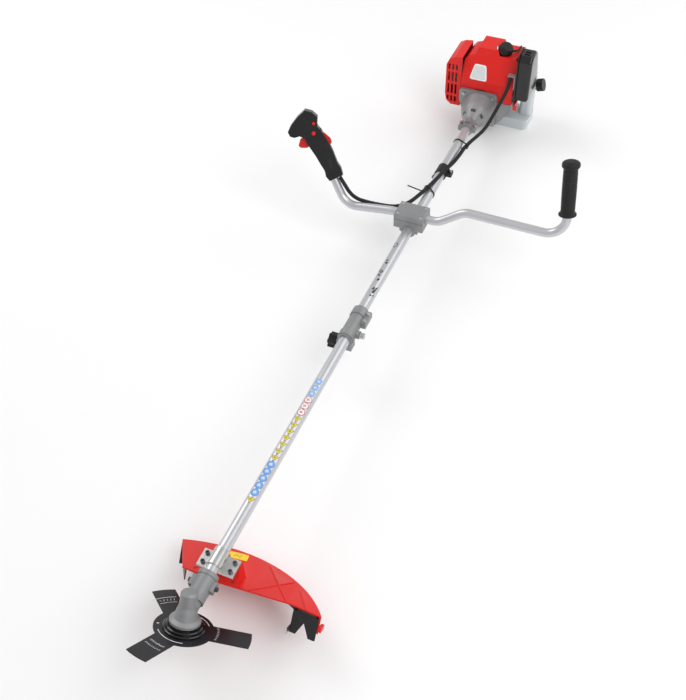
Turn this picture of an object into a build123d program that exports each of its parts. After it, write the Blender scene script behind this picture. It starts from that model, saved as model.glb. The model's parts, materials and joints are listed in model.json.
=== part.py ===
from build123d import *
from math import atan, atan2, cos, degrees, hypot, pi, radians, sin, tan
import os

os.makedirs("parts", exist_ok=True)

# Brush cutter, millimetres. Everything is drawn in the shaft's own frame:
# +X runs up the shaft from the cutting head to the engine, +Y to the throttle
# hand, +Z up. X = 0 is where the lower tube enters the gear head.
# place_on_floor() then lays the whole machine down in its resting attitude.

# ---- fits
static_gap = 0.05        # between surfaces clamped together
running_gap = 0.06       # radial, shaft in its bore
skin_gap = 0.4           # between neighbouring shells that don't touch

# ---- cutting head
head_angle = 57.0        # between the output axis and the shaft
apex_x = -88.0           # where the output axis meets the shaft axis
blade_drop = 30.0        # from there down to the blade's top face
blade_r = 127.5
blade_t = 1.8
blade_hub_r = 57.0
tooth_width = 47.0
blade_phase = 12.4       # how far the blade has turned at rest
blade_bore_r = 12.7
cup_r = 40.0             # stepped holder above the blade
cup_h = 13.0
flange_r = 30.0          # foot of the gear head casting
barrel_r = 16.5
barrel_top = 78.0        # height of the barrel's cap above the blade
output_r = 6.0
neck_r = 19.5
neck_socket = 40.0       # how far the tube goes in

# ---- bevel gears
pinion_teeth = 13
gear_teeth = 18
gear_cone = 22.0         # cone distance of the big end
gear_face = 7.0

# ---- guard
guard_r = 256.0
guard_top = 40.0         # plate's top face above the blade
guard_wall = 3.0
guard_depth = 39.0
guard_front = 119.0      # front edge behind the blade axis
guard_left = 133 / 256   # half-width on the throttle side over the radius
guard_right = 217 / 256  # half-width on the other side over the radius
skirt_drop = 15.0        # how far the skirt hangs below the blade
skirt_t = 2.2
bracket_x = 36.0         # centre of the guard bracket along the shaft
bracket_len = 38.0
bracket_half = 40.0
bracket_t = 3.0

# ---- shaft
tube_r = 13.0
tube_wall = 1.5
drive_r = 4.0
joint_x = 701.0          # where the two tubes meet
engine_x = 1640.0        # face of the clutch housing's flange
tube_end = 1558.0
coupler_start = 650.0
coupler_len = 102.0
coupler_r = 20.0
knob_r = 19.0
knob_t = 20.0
pin_x = 677.0
coupler_screw_y = -23.5
pin_r = 3.0
pin_travel = 6.0
bushing_len = 30.0

# ---- handlebar
clamp_x = 1085.0
clamp_len = 56.0
clamp_half = 39.0
bar_z = 29.0             # handlebar axis above the shaft axis
bar_r = 11.0
bar_wall = 1.6
bar_lean = 15.0          # the handlebar leans this far towards the engine
bar_bend = 48.0
grip_r = 17.5
rubber_grip_len = 136.0
throttle_reach = 112.0   # how far the bar goes up into the throttle grip
harness_x = 1317.0
harness_len = 34.0
eye_hole_r = 6.0
eye_r = 10.5
eye_len = 6.0
loom_r = 5.5
tie_x = (1216.0, 1453.0)

# ---- engine
drum_r = 38.0
shoe_gap = 0.8
crank_r = 7.5
fan_r = 47.0
fan_x = 1648.0
fan_len = 30.0
case_x = 1684.0
case_len = 54.0
recoil_x = 1742.0
recoil_len = 40.0
recoil_r = 60.0
shroud_top = 168.0
shroud_left = 60.0
shroud_right = 92.0
muffler_side = 62.0      # where the muffler guard starts, on +Y
muffler_out = 108.0
filter_side = 97.0       # where the filter base starts, on -Y
filter_out = 138.0
tank_left = 62.0
tank_right = 130.0
tank_top = -59.0
tank_wall = 2.5
cap_tilt = 72.0
cap_r = 18.0
pulley_r = 21.0
rope_r = 1.75
rope_travel = 700.0

rest_tilt = 3.0          # the engine end lies this much lower


def head_plane():
    """Blade's top face: x rearwards, y to the throttle hand, z up the output axis."""
    a = radians(head_angle)
    origin = (apex_x - blade_drop * cos(a), 0, -blade_drop * sin(a))
    return Plane(origin=origin, x_dir=(sin(a), 0, -cos(a)), z_dir=(cos(a), 0, sin(a)))


def bar_plane():
    """Plane of the handlebar: x to the throttle hand, y up the lean."""
    a = radians(bar_lean)
    normal = (-cos(a), 0, sin(a))
    return Plane(origin=(clamp_x, 0, bar_z), x_dir=(0, 1, 0), z_dir=normal)


def bar_point(across, up):
    a = radians(bar_lean)
    return Vector(clamp_x + up * sin(a), across, bar_z + up * cos(a))


def slab(x0, x1, y0, y1, z0, z1):
    centre = ((x0 + x1) / 2, (y0 + y1) / 2, (z0 + z1) / 2)
    return Pos(*centre) * Box(x1 - x0, y1 - y0, z1 - z0)


def rod(start, end, radius):
    start, end = Vector(*start), Vector(*end)
    line = end - start
    plane = Plane(origin=start, z_dir=line)
    return plane.location * extrude(Circle(radius), line.length)


def shaft_rod(x0, x1, radius):
    return rod((x0, 0, 0), (x1, 0, 0), radius)


def post(x, y, z0, z1, radius):
    return rod((x, y, z0), (x, y, z1), radius)


def turned(points):
    """Solid of revolution about Z from (radius, height) points."""
    outline = Polyline(*[(r, 0, z) for r, z in points], close=True)
    return revolve(make_face(outline), Axis.Z)


def cap_screw(start, end, radius, head_r, head_len):
    """Screw from its head's seat to its tip, hexagon socket in the head."""
    start, end = Vector(*start), Vector(*end)
    inward = (end - start).normalized()
    top = start - inward * head_len
    body = rod(start, end, radius) + rod(top, start, head_r)
    socket = Plane(origin=top, z_dir=inward).location * extrude(
        RegularPolygon(head_r * 0.55, 6), head_len * 0.6
    )
    return body - socket


def shaft_flat(points, x0, x1):
    """Prism along the shaft from (y, z) points."""
    outline = Polyline(*[(x0, y, z) for y, z in points], close=True)
    return extrude(make_face(outline), x1 - x0, dir=(1, 0, 0))


# ------------------------------------------------------------------ cutting head
def bevel_body(teeth, pitch_angle, phase, bore_r, back_len, hub_r):
    """Bevel gear, apex at the origin, axis +Z."""
    module = 2 * gear_cone * sin(radians(pitch_angle)) / teeth
    root = pitch_angle - degrees(atan(1.2 * module / gear_cone))
    tip = pitch_angle + degrees(atan(0.75 * module / gear_cone))
    top = gear_cone * cos(radians(pitch_angle))
    scale_in = (gear_cone - gear_face) / gear_cone
    low = top * scale_in
    root_r = top * tan(radians(root))
    pitch_r = top * tan(radians(pitch_angle))
    tip_r = top * tan(radians(tip))
    half = 360 / teeth / 4 * 0.76
    tip_half = half * 0.52
    root_half = half * 1.4

    def tooth_face(height):
        k = height / top
        corners = []
        for radius, angle in (
            (root_r * 0.94, -root_half),
            (root_r, -root_half),
            (pitch_r, -half),
            (tip_r, -tip_half),
            (tip_r, tip_half),
            (pitch_r, half),
            (root_r, root_half),
            (root_r * 0.94, root_half),
        ):
            a = radians(angle)
            corners.append((radius * k * cos(a), radius * k * sin(a), height))
        return make_face(Polyline(*corners, close=True))

    tooth = loft([tooth_face(low), tooth_face(top)], ruled=True)
    blank = turned([(0, low), (root_r * scale_in, low), (root_r, top), (0, top)])
    hub = Pos(0, 0, top) * extrude(Circle(hub_r), back_len)
    gear = blank + hub
    for i in range(teeth):
        gear += Rot(0, 0, phase + i * 360 / teeth) * tooth
    bore = Pos(0, 0, low - 1) * extrude(Circle(bore_r), top + back_len + 2)
    return gear - bore


def pitch_angles():
    ratio = gear_teeth / pinion_teeth
    small = degrees(atan(sin(radians(head_angle)) / (ratio + cos(radians(head_angle)))))
    return small, head_angle - small


def gear_pair():
    small, large = pitch_angles()
    to_pinion = Plane(origin=(apex_x, 0, 0), x_dir=(0, 0, 1), z_dir=(1, 0, 0)).location
    pinion = to_pinion * bevel_body(
        pinion_teeth, small, 180 / pinion_teeth, drive_r + static_gap, 4.0, 7.4
    )
    shank_start = apex_x + gear_cone * cos(radians(small)) + 3.0
    pinion += shaft_rod(shank_start, -42.0, 6.5) - shaft_rod(shank_start - 1, -41, drive_r + static_gap)
    to_gear = head_plane().location * Pos(0, 0, blade_drop)
    gear = to_gear * bevel_body(gear_teeth, large, 0, output_r + static_gap, 5.0, 10.0)
    return pinion, gear


def gear_head():
    at = head_plane().location
    small, large = pitch_angles()
    gear_z = blade_drop + gear_cone * cos(radians(large))
    foot = cup_h + 1.0
    barrel = turned(
        [
            (0, foot),
            (flange_r, foot),
            (flange_r, foot + 5),
            (flange_r - 3, foot + 7),
            (barrel_r + 6, foot + 10),
            (barrel_r + 3, foot + 24),
            (barrel_r, foot + 34),
            (barrel_r, barrel_top - 4),
            (barrel_r - 4, barrel_top),
            (0, barrel_top),
        ]
    )
    barrel = at * barrel
    neck = shaft_rod(apex_x + 4, -38, 16.5) + shaft_rod(-60, 0, neck_r)
    collar = shaft_rod(-9, 0, neck_r + 1.5)
    body = barrel + neck + collar
    body += slab(-34, -12, -26, 26, -7, 7)
    # cavity for the two gears, bearings turned straight into the casting
    gear_room = turned(
        [
            (0, blade_drop - 2),
            (output_r + 4, blade_drop - 2),
            (output_r + 4, blade_drop + 6),
            (14.2, gear_z - 8),
            (14.2, gear_z + 6),
            (0, gear_z + 6),
        ]
    )
    body -= at * gear_room
    body -= at * Pos(0, 0, foot - 1) * extrude(Circle(output_r + running_gap), blade_drop + 2)
    body -= at * Pos(0, 0, gear_z) * extrude(Circle(5.0 + running_gap), barrel_top - 6 - gear_z)
    body -= shaft_rod(apex_x + 9, -60, 10.4)
    body -= shaft_rod(-61, -38, 6.5 + running_gap)
    body -= shaft_rod(-neck_socket, 1, tube_r + static_gap)
    for side in (1, -1):
        body -= rod((-23, side * 12, 0), (-23, side * 30, 0), 2.6)
    body -= slab(-30, 1, -1.0, 1.0, -30, -12)
    return body


def output_parts():
    at = head_plane().location
    small, large = pitch_angles()
    gear_z = blade_drop + gear_cone * cos(radians(large))
    shaft = turned(
        [
            (0, -24),
            (5, -24),
            (5, -3),
            (output_r, -3),
            (output_r, gear_z + 5.5),
            (5, gear_z + 5.5),
            (5, barrel_top - 9),
            (0, barrel_top - 9),
        ]
    )
    holder = turned(
        [
            (output_r + static_gap, 0),
            (cup_r, 0),
            (cup_r, 3.5),
            (cup_r - 2, 5),
            (cup_r - 5, 5),
            (cup_r - 5, 8),
            (cup_r - 7, 9.5),
            (cup_r - 9, 9.5),
            (cup_r - 9, cup_h),
            (output_r + static_gap, cup_h),
        ]
    )
    # the spigot below the holder centres the blade
    holder += Pos(0, 0, -blade_t - 1.0) * turned(
        [
            (output_r + static_gap, 0),
            (blade_bore_r - static_gap, 0),
            (blade_bore_r - static_gap, blade_t + 1.5),
            (output_r + static_gap, blade_t + 1.5),
        ]
    )
    lower = turned(
        [
            (5.3, -blade_t - 4.5),
            (blade_bore_r + 6, -blade_t - 4.5),
            (26, -blade_t - 1.6),
            (26, -blade_t),
            (blade_bore_r, -blade_t),
            (blade_bore_r, -blade_t - 1.2),
            (5.3, -blade_t - 1.2),
        ]
    )
    rest_cup = turned(
        [
            (5.3, -blade_t - 6.5),
            (20, -blade_t - 6.5),
            (29, -blade_t - 18),
            (27, -blade_t - 19.5),
            (16, -blade_t - 8.7),
            (5.3, -blade_t - 8.7),
        ]
    )
    washer = turned(
        [
            (5.3, -blade_t - 6.5),
            (12, -blade_t - 6.5),
            (12, -blade_t - 4.5),
            (5.3, -blade_t - 4.5),
        ]
    )
    lower_flange = lower + washer + rest_cup
    nut = Pos(0, 0, -blade_t - 18.7) * extrude(RegularPolygon(9.8, 6), 10)
    nut -= Pos(0, 0, -40) * extrude(Circle(5 + static_gap), 60)
    return at * shaft, at * holder, at * lower_flange, at * nut


def blade():
    at = head_plane().location
    disc = Circle(blade_hub_r)
    for i in range(3):
        arm = Pos(blade_r / 2, 0) * Rectangle(blade_r, tooth_width)
        disc += Rot(0, 0, 180 - blade_phase + i * 120) * arm
    disc &= Circle(blade_r)
    disc -= Circle(blade_bore_r)
    for i in range(3):
        disc -= Rot(0, 0, 120 - blade_phase + i * 120) * Pos(49, 0) * Circle(3)
    return at * Pos(0, 0, -blade_t) * extrude(disc, blade_t)


def guard_corners():
    """Front-left, rear-left and front-right corners in the head's plane."""
    left, right = guard_r * guard_left, guard_r * guard_right
    left_rear = (guard_r**2 - left**2) ** 0.5
    right_front = (guard_r**2 - right**2) ** 0.5
    return (guard_front + 5, 80.0), (left_rear, left), (right_front, -right)


def guard_outline(radius, inset=0.0):
    front_left, rear_left, front_right = guard_corners()
    k = radius / guard_r
    rear = (rear_left[0] * k, rear_left[1] * k - inset)
    right = (front_right[0] * k, front_right[1] * k + inset)
    front = (front_left[0] + inset, front_left[1] - inset)
    slope = (rear[1] - front[1]) / (rear[0] - front[0])
    beyond = (400, rear[1] + slope * (400 - rear[0]))
    far = (right[0] + inset, -600)
    middle = (guard_front + 21 + inset, -150), (guard_front + inset, 0)
    wedge = Polyline(front, beyond, (400, -600), far, right, *middle, close=True)
    return make_face(wedge) & Circle(radius)


def prism(face, z0, z1):
    return Pos(0, 0, z0) * extrude(face, z1 - z0)


def guard():
    at = head_plane().location
    rim_low = guard_top - guard_depth
    body = prism(guard_outline(guard_r), rim_low, guard_top)
    body -= prism(Circle(guard_r - guard_wall), rim_low - 1, guard_top - guard_wall)
    # raised ribs crossing the plate
    lines = (
        ((135, 60), (250, 20)),
        ((125, -60), (215, -125)),
        ((128, -150), (240, -60)),
        ((128, -190), (190, -150)),
    )
    for (xa, ya), (xb, yb) in lines:
        length = hypot(xb - xa, yb - ya)
        turn = degrees(atan((yb - ya) / (xb - xa)))
        bar = Pos((xa + xb) / 2, (ya + yb) / 2) * Rot(0, 0, turn) * Rectangle(length, 2.4)
        body += prism(bar & guard_outline(guard_r - 6, 3), guard_top - 1, guard_top + 1.2)
    # seat for the bracket, square to the shaft, standing on the plate
    x0, x1 = bracket_x - bracket_len / 2, bracket_x + bracket_len / 2
    seat_z = -tube_r - 4.0 - bracket_t
    seat = slab(x0, x1 + 3, -bracket_half, bracket_half, -120, seat_z)
    seat_local = at.inverse() * seat
    reach = guard_outline(guard_r - guard_wall - 2)
    seat_local &= prism(reach, guard_top - 1.5, guard_top + 140)
    body += seat_local
    body = at * body
    for x in (x0 + 9, x1 - 9):
        for y in (-30.0, 30.0):
            body -= post(x, y, -90, seat_z + 1, 2.6)
    # clip tab at the far corner of the rim
    corner = guard_corners()[2]
    body += at * slab(corner[0] - 1, corner[0] + 16, corner[1] - 5, corner[1] + 2, 6, 16)
    return body


def guard_skirt():
    at = head_plane().location
    outer = guard_r - guard_wall - skin_gap
    body = prism(guard_outline(outer), -skirt_drop, 30)
    body -= prism(Circle(outer - skirt_t), -skirt_drop - 1, 31)
    front_left, rear_left, front_right = guard_corners()
    # closing flap at the throttle side
    k = (outer - 1) / guard_r
    xa, ya = front_left[0] + 8, front_left[1] - 1
    xb, yb = rear_left[0] * k, rear_left[1] * k
    length = hypot(xb - xa, yb - ya)
    turn = degrees(atan((yb - ya) / (xb - xa)))
    flap = Pos((xa + xb) / 2, (ya + yb) / 2 - 4.5) * Rot(0, 0, turn) * Box(length, skirt_t, 22)
    body += Pos(0, 0, 30 - 11) * flap
    # leg at the other end, with a notch between it and the rim
    xc, yc = front_right[0] * k, front_right[1] * k + 1.2
    leg = slab(xc - 0.5, xc - 0.5 + skirt_t, yc - 1, yc + 52, -skirt_drop, 34)
    notch = Polyline((yc + 12, -skirt_drop - 1), (yc + 26, 14), (yc + 40, -skirt_drop - 1), close=True)
    cut = extrude(make_face(Plane.YZ.offset(xc - 20) * notch), 60, dir=(1, 0, 0))
    body += leg
    body += slab(xc - 0.5, xc + 22, yc + 50, yc + 52, -skirt_drop, 34)
    body -= cut
    return at * body


def line_cutter():
    at = head_plane().location
    k = (guard_r - guard_wall - skin_gap - 1) / guard_r
    front_right = guard_corners()[2]
    xc, yc = front_right[0] * k, front_right[1] * k + 1.2
    plate = slab(xc - 16, xc + 18, yc + 52.1, yc + 53.7, -skirt_drop + 2, -skirt_drop + 15)
    return at * plate


def guard_bracket():
    x0, x1 = bracket_x - bracket_len / 2, bracket_x + bracket_len / 2
    base = -tube_r - 4.0
    body = slab(x0, x1, -bracket_half, bracket_half, base - bracket_t, base)
    body += slab(x0, x1, -tube_r - 3, tube_r + 3, base, 0) + shaft_rod(x0, x1, tube_r + 3)
    body = body + slab(x0, x1, -bracket_half, bracket_half, base, base + bracket_t)
    body -= shaft_rod(x0 - 1, x1 + 1, tube_r + static_gap)
    for x in (x0 + 9, x1 - 9):
        for y in (-30.0, 30.0):
            body -= post(x, y, base - 9, base + 9, 2.6)
    return body


def head_screws():
    """Guard bolts, the gear head's clamp bolts and its grease plug."""
    x0, x1 = bracket_x - bracket_len / 2, bracket_x + bracket_len / 2
    top = -tube_r - 4.0 + bracket_t
    screws = []
    for x in (x0 + 9, x1 - 9):
        for y in (-30.0, 30.0):
            screws.append(cap_screw((x, y, top), (x, y, top - 18), 2.5, 4.5, 4.5))
    for side in (1, -1):
        screws.append(cap_screw((-23, side * 26, 0), (-23, side * 13.5, 0), 2.5, 4.6, 5))
    plug = rod((-50, 19.8, 4), (-50, 23, 4), 5) + rod((-50, 23, 4), (-50, 27, 4), 4)
    screws.append(plug)
    return Compound(children=screws)


# ------------------------------------------------------------------ shaft
def tubes():
    lower = shaft_rod(-neck_socket, joint_x - 0.5, tube_r)
    lower -= shaft_rod(-neck_socket - 1, joint_x, tube_r - tube_wall)
    lower -= rod((pin_x, 0, 0), (pin_x, -20, 0), pin_r + 0.08)
    upper = shaft_rod(joint_x + 0.5, tube_end, tube_r)
    upper -= shaft_rod(joint_x, tube_end + 1, tube_r - tube_wall)
    return lower, upper


def drive_shafts():
    lower = shaft_rod(-58, joint_x - 1, drive_r)
    upper = shaft_rod(joint_x - 0.5, engine_x - 40, drive_r)
    sleeve = shaft_rod(joint_x - 14, joint_x + 14, drive_r + 3.5)
    sleeve -= shaft_rod(joint_x - 15, joint_x + 15, drive_r + static_gap)
    # the upper shaft carries the socket that the lower one slides into
    upper = upper + (sleeve & shaft_rod(joint_x - 15, joint_x + 15, 20))
    upper += shaft_rod(joint_x + 1, joint_x + 13, drive_r + 1)
    return lower, upper


def shaft_bushings():
    rings = []
    for x in (110.0, 320.0, 530.0, 860.0, 1100.0, 1390.0):
        ring = shaft_rod(x, x + bushing_len, tube_r - tube_wall - static_gap)
        rings.append(ring - shaft_rod(x - 1, x + bushing_len + 1, drive_r + running_gap))
    return Compound(children=rings)


def coupler():
    x0, x1 = coupler_start, coupler_start + coupler_len
    body = shaft_rod(x0, x1, coupler_r - 2) + shaft_rod(x0 + 4, x0 + 22, coupler_r)
    body += shaft_rod(x1 - 26, x1 - 3, coupler_r)
    body += rod((pin_x, 0, 0), (pin_x, -27, 0), 9.5)
    body += slab(x0 + 3, x0 + 27, -14, 23, -37, -12)
    body += slab(x1 - 46, x1 - 4, -28.5, -8, -8, 8)
    body -= shaft_rod(x0 - 1, x1 + 1, tube_r + static_gap)
    # room for the pin's collar and spring
    body -= rod((pin_x, -10, 0), (pin_x, -25, 0), 6.0)
    body -= rod((pin_x, -10, 0), (pin_x, -40, 0), pin_r + running_gap)
    body -= rod((x0 + 15, -6, -28), (x0 + 15, 40, -28), 3.5 + running_gap)
    body -= slab(x0 + 1, x0 + 29, -1.0, 1.0, -38, -23) & slab(x0 + 2.5, x0 + 27.5, -2, 2, -38, -12)
    for x in (x1 - 38, x1 - 14):
        body -= rod((x, coupler_screw_y, -12), (x, coupler_screw_y, 12), 2.6)
    return body


def coupler_knob():
    """Lobed hand knob with its stud, turning about Y."""
    x, z = coupler_start + 15, -28.0
    face = Circle(knob_r - 4)
    for i in range(6):
        face += Rot(0, 0, i * 60) * Pos(knob_r - 5, 0) * Circle(5)
    disc = Plane(origin=(x, 24.0, z), z_dir=(0, 1, 0)).location * extrude(face, knob_t)
    stud = rod((x, -5.5, z), (x, 24.5, z), 3.5)
    dish = rod((x, 24 + knob_t - 3, z), (x, 24 + knob_t + 1, z), knob_r * 0.45)
    return disc + stud - dish


def lock_pin():
    tip = rod((pin_x, -10.2, 0), (pin_x, -33, 0), pin_r)
    collar = rod((pin_x, -14, 0), (pin_x, -16, 0), 5.6)
    head = rod((pin_x, -28, 0), (pin_x, -38, 0), 7.5) - rod((pin_x, -31.5, 0), (pin_x, -34, 0), 9)
    head += rod((pin_x, -31, 0), (pin_x, -34.5, 0), 5.5)
    return tip + collar + head


def lock_pin_spring():
    length = 25.0 - 16.0 - 0.3
    wire = 0.45
    turns = 4.0
    path = Helix(pitch=(length - 2 * wire - 0.2) / turns, height=length - 2 * wire - 0.2, radius=4.4)
    start = Plane(origin=path @ 0, z_dir=path % 0)
    coil = sweep(start * Circle(wire), path=path, is_frenet=True)
    at = Plane(origin=(pin_x, -16.15 - wire, 0), z_dir=(0, -1, 0)).location
    return at * coil


def handle_clamp():
    x0, x1 = clamp_x - clamp_len / 2, clamp_x + clamp_len / 2
    y = clamp_half
    tilt_cut = rod(tuple(bar_point(-60, 0)), tuple(bar_point(60, 0)), bar_r + static_gap)
    lower = slab(x0, x1, -y, y, 4, bar_z - 0.5)
    lower += shaft_rod(x0, x1, tube_r + 7) + slab(x0 + 3, x1 - 3, -24, 24, -8, 6)
    lower -= shaft_rod(x0 - 1, x1 + 1, tube_r + static_gap)
    lower -= tilt_cut
    upper = slab(x0, x1, -y, y, bar_z + 0.5, bar_z + bar_r + 6)
    upper = fillet(upper.edges().group_by(Axis.Z)[-1], 4)
    upper -= tilt_cut
    for x in (x0 + 8, x1 - 8):
        for side in (-31.0, 31.0):
            lower -= post(x, side, 0, 60, 2.6)
            upper -= post(x, side, 20, 60, 2.6)
            upper -= post(x, side, bar_z + bar_r + 1, 60, 4.8)
    return lower, upper


def clamp_screws():
    x0, x1 = clamp_x - clamp_len / 2, clamp_x + clamp_len / 2
    seat = bar_z + bar_r + 1
    screws = []
    for x in (x0 + 8, x1 - 8):
        for side in (-31.0, 31.0):
            screws.append(cap_screw((x, side, seat), (x, side, 8), 2.5, 4.5, 4.5))
    end = coupler_start + coupler_len
    for x in (end - 38, end - 14):
        y = coupler_screw_y
        screws.append(cap_screw((x, y, 8), (x, y, -7), 2.5, 4.5, 4.5))
    lug_y = -tube_r - 11.0
    screws.append(cap_screw((harness_x, lug_y, 6), (harness_x, lug_y, -6.5), 2.0, 4.0, 4.0))
    return Compound(children=screws)


# ------------------------------------------------------------------ handlebar
def bar_vertices():
    """Corners of the handlebar's centre line in its own plane."""
    return [
        (279.0, 146.0),
        (180.0, -17.0),
        (54.0, 0.0),
        (-70.0, 0.0),
        (-134.0, 44.0),
        (-389.0, 44.0),
        (-364.0, 228.0),
    ]


def bar_path():
    points = [bar_point(a, b) for a, b in bar_vertices()]
    return FilletPolyline(*points, radius=bar_bend)


def handlebar():
    path = bar_path()
    start = Plane(origin=path @ 0, z_dir=path % 0)
    outer = sweep(start * Circle(bar_r), path=path)
    inner = sweep(start * Circle(bar_r - bar_wall), path=path)
    return outer - inner


def leg_frame(top, bottom, front):
    """Frame on a straight leg: z up the leg, x as near 'front' as it can be."""
    up = (bar_point(*top) - bar_point(*bottom)).normalized()
    side = up.cross(Vector(*front)).normalized()
    forward = side.cross(up).normalized()
    return up, forward


def rubber_grip():
    corners = bar_vertices()
    top, bottom = corners[-1], corners[-2]
    up, forward = leg_frame(top, bottom, (1, 0, 0))
    origin = bar_point(*top) - up * (rubber_grip_len - 9)
    at = Plane(origin=origin, x_dir=forward, z_dir=up).location
    oval = Ellipse(grip_r + 1.5, grip_r)
    body = extrude(oval, rubber_grip_len)
    body += extrude(Ellipse(grip_r + 4, grip_r + 2.5), 6)
    body += Pos(0, 0, rubber_grip_len - 14) * extrude(Ellipse(grip_r + 4.5, grip_r + 3), 14)
    body = fillet(body.edges().group_by(Axis.Z)[-1], 5)
    body -= Pos(0, 0, -1) * extrude(Circle(bar_r + static_gap), rubber_grip_len - 7)
    return at * body


def throttle_frame():
    """On the throttle leg: x to the trigger side, z up the leg, origin at the grip's foot."""
    corners = bar_vertices()
    top, bottom = corners[0], corners[1]
    up, forward = leg_frame(top, bottom, (-0.40, 0.92, 0))
    origin = bar_point(*top) - up * throttle_reach
    return Plane(origin=origin, x_dir=forward, z_dir=up)


def side_plate(points, y0, y1):
    """Plate in the throttle frame from (x, z) points, between two y values."""
    outline = Polyline(*[(x, y0, z) for x, z in points], close=True)
    return extrude(make_face(outline), y1 - y0, dir=(0, 1, 0))


trigger_pivot = (20.0, 121.0)
lockout_pivot = (-16.5, 119.0)


def grip_shell():
    """Both halves together, before they are cut apart."""
    front = [(12, -2), (16, 12), (13, 27), (16, 50), (18, 70), (22, 91), (25, 108)]
    back = [(-21, 127), (-25, 90), (-27, 65), (-25, 32), (-28, 15), (-25, -2)]
    body = side_plate(front + [(24, 132)] + back, -15.5, 15.5)
    low = [(-21, 120), (22, 120), (34, 133), (48, 135), (56, 142), (57, 154)]
    high = [(46, 164), (22, 177), (-5, 186), (-19, 175), (-27, 158), (-17, 139)]
    body += side_plate(low + high, -20, 20)
    return body


def throttle_shells():
    at = throttle_frame().location
    body = grip_shell()
    body -= Pos(0, 0, -5) * extrude(Circle(bar_r + static_gap), throttle_reach + 6)
    # slots for the two levers, wells for the switch and the button
    body -= side_plate([(11.5, 84), (70, 84), (70, 110), (36, 128), (28, 130), (11.5, 130)], -6.5, 6.5)
    body -= side_plate([(-45, 75), (-12, 75), (-11.4, 127), (-20, 131), (-45, 119)], -5.5, 5.5)
    body -= rod((-12, 8, 148), (-12, 30, 148), 4.2)
    body -= rod((-2, 13.2, 126), (-2, 30, 126), 5.3)
    tx, tz = trigger_pivot
    lx, lz = lockout_pivot
    left = body & slab(-60, 90, 0.1, 40, -10, 200)
    right = body & slab(-60, 90, -40, -0.1, -10, 200)
    left += rod((tx, 8, tz), (tx, -6.0, tz), 2.0)
    left += rod((lx, 7, lz), (lx, -5.0, lz), 2.0)
    return at * left, at * right


def throttle_trigger():
    at = throttle_frame().location
    tx, tz = trigger_pivot
    profile = [(tx - 4, tz + 5), (31, 125), (38, 123), (48, 111), (45, 104), (30, 97), (18, 100)]
    body = side_plate(profile, -5.8, 5.8)
    body -= rod((tx, -10, tz), (tx, 10, tz), 2.0 + running_gap)
    return at * body


def trigger_lockout():
    at = throttle_frame().location
    lx, lz = lockout_pivot
    low = [(-13, 113), (-21, 84), (-26, 80), (-33, 85), (-34, 95), (-28, 108)]
    profile = [(-13, 123)] + low + [(-20, 123)]
    body = side_plate(profile, -4.8, 4.8)
    body -= rod((lx, -10, lz), (lx, 10, lz), 2.0 + running_gap)
    return at * body


def stop_switch():
    at = throttle_frame().location
    return at * (rod((-12, 10, 148), (-12, 23.5, 148), 4.0) + slab(-14.8, -9.2, 23.5, 26, 144.8, 151.2))


def lock_button():
    at = throttle_frame().location
    return at * rod((-2, 15.0, 126), (-2, 24.0, 126), 5.1)


def harness_clamp():
    x0, x1 = harness_x - harness_len / 2, harness_x + harness_len / 2
    body = shaft_rod(x0, x1, tube_r + 3.5)
    body += slab(x0 + 8, x1 - 8, -tube_r - 16, -tube_r - 1, -6, 6)
    outward = Vector(0, 1, -1).normalized()
    centre = Vector(harness_x, 0, 0) + outward * (tube_r + 3 + eye_r)
    across = Vector(0, 1, 1).normalized()
    half = eye_len / 2
    body += rod(tuple(centre - across * half), tuple(centre + across * half), eye_r)
    body -= shaft_rod(x0 - 1, x1 + 1, tube_r + static_gap)
    body -= rod(tuple(centre - across * 9), tuple(centre + across * 9), eye_hole_r)
    body -= rod((harness_x, -tube_r - 11, -9), (harness_x, -tube_r - 11, 9), 2.1)
    return body


def loom_vertices():
    """Corners of the control loom, from the throttle grip to the carburettor."""
    a = radians(bar_lean)
    behind = Vector(cos(a), 0, -sin(a))
    return [
        bar_point(*leg_offset(throttle_reach + 5.0)),
        bar_point(166, 2) + behind * 9,
        bar_point(104, -3) + behind * 18,
        bar_point(52, 2) + behind * 20,
        Vector(1148, 32, 11),
        Vector(1202, 10, 17.5),
        Vector(1262, -6, 20.5),
        Vector(1300, -12, 21),
        Vector(1346, -20, 13.5),
        Vector(1400, -21, 3),
        Vector(1445, -20.5, -4),
        Vector(1476, -27, -4),
        Vector(1522, -54, 15),
        Vector(1594, -68, 50),
        Vector(1630, -79, 84),
        Vector(1643, -82, 117),
    ]


def leg_offset(dist):
    """Point beside the throttle leg, dist mm from the leg's top corner."""
    (ax, ay), (bx, by) = bar_vertices()[0], bar_vertices()[1]
    length = hypot(bx - ax, by - ay)
    ux, uy = (bx - ax) / length, (by - ay) / length
    off = bar_r + loom_r + 0.8
    return ax + ux * dist + uy * off, ay + uy * dist - ux * off


def swept_loom(points, radius):
    """Round section along straight runs joined by tangent arcs, one radius per corner."""
    runs = [(b - a).length for a, b in zip(points, points[1:])]
    parts = []
    start = points[0]
    for i in range(1, len(points) - 1):
        a, b, c = points[i - 1], points[i], points[i + 1]
        u, w = (b - a).normalized(), (c - b).normalized()
        turn = u.get_angle(w)
        cut = 0.45 * min(runs[i - 1], runs[i])
        p, q = b - u * cut, b + w * cut
        parts.append(Line(start, p))
        parts.append(TangentArc(p, q, tangent=u))
        print("loom corner", i, "turn", round(turn, 1), "radius", round(cut / tan(radians(turn / 2)), 1))
        start = q
    parts.append(Line(start, points[-1]))
    path = Wire(parts)
    section = Plane(origin=points[0], z_dir=points[1] - points[0]) * Circle(radius)
    return sweep(section, path=path), path


def control_loom():
    body, path = swept_loom(loom_vertices(), loom_r)
    print("loom volume / section x length", round(body.volume / (pi * loom_r**2 * path.length), 4))
    return body


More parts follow.
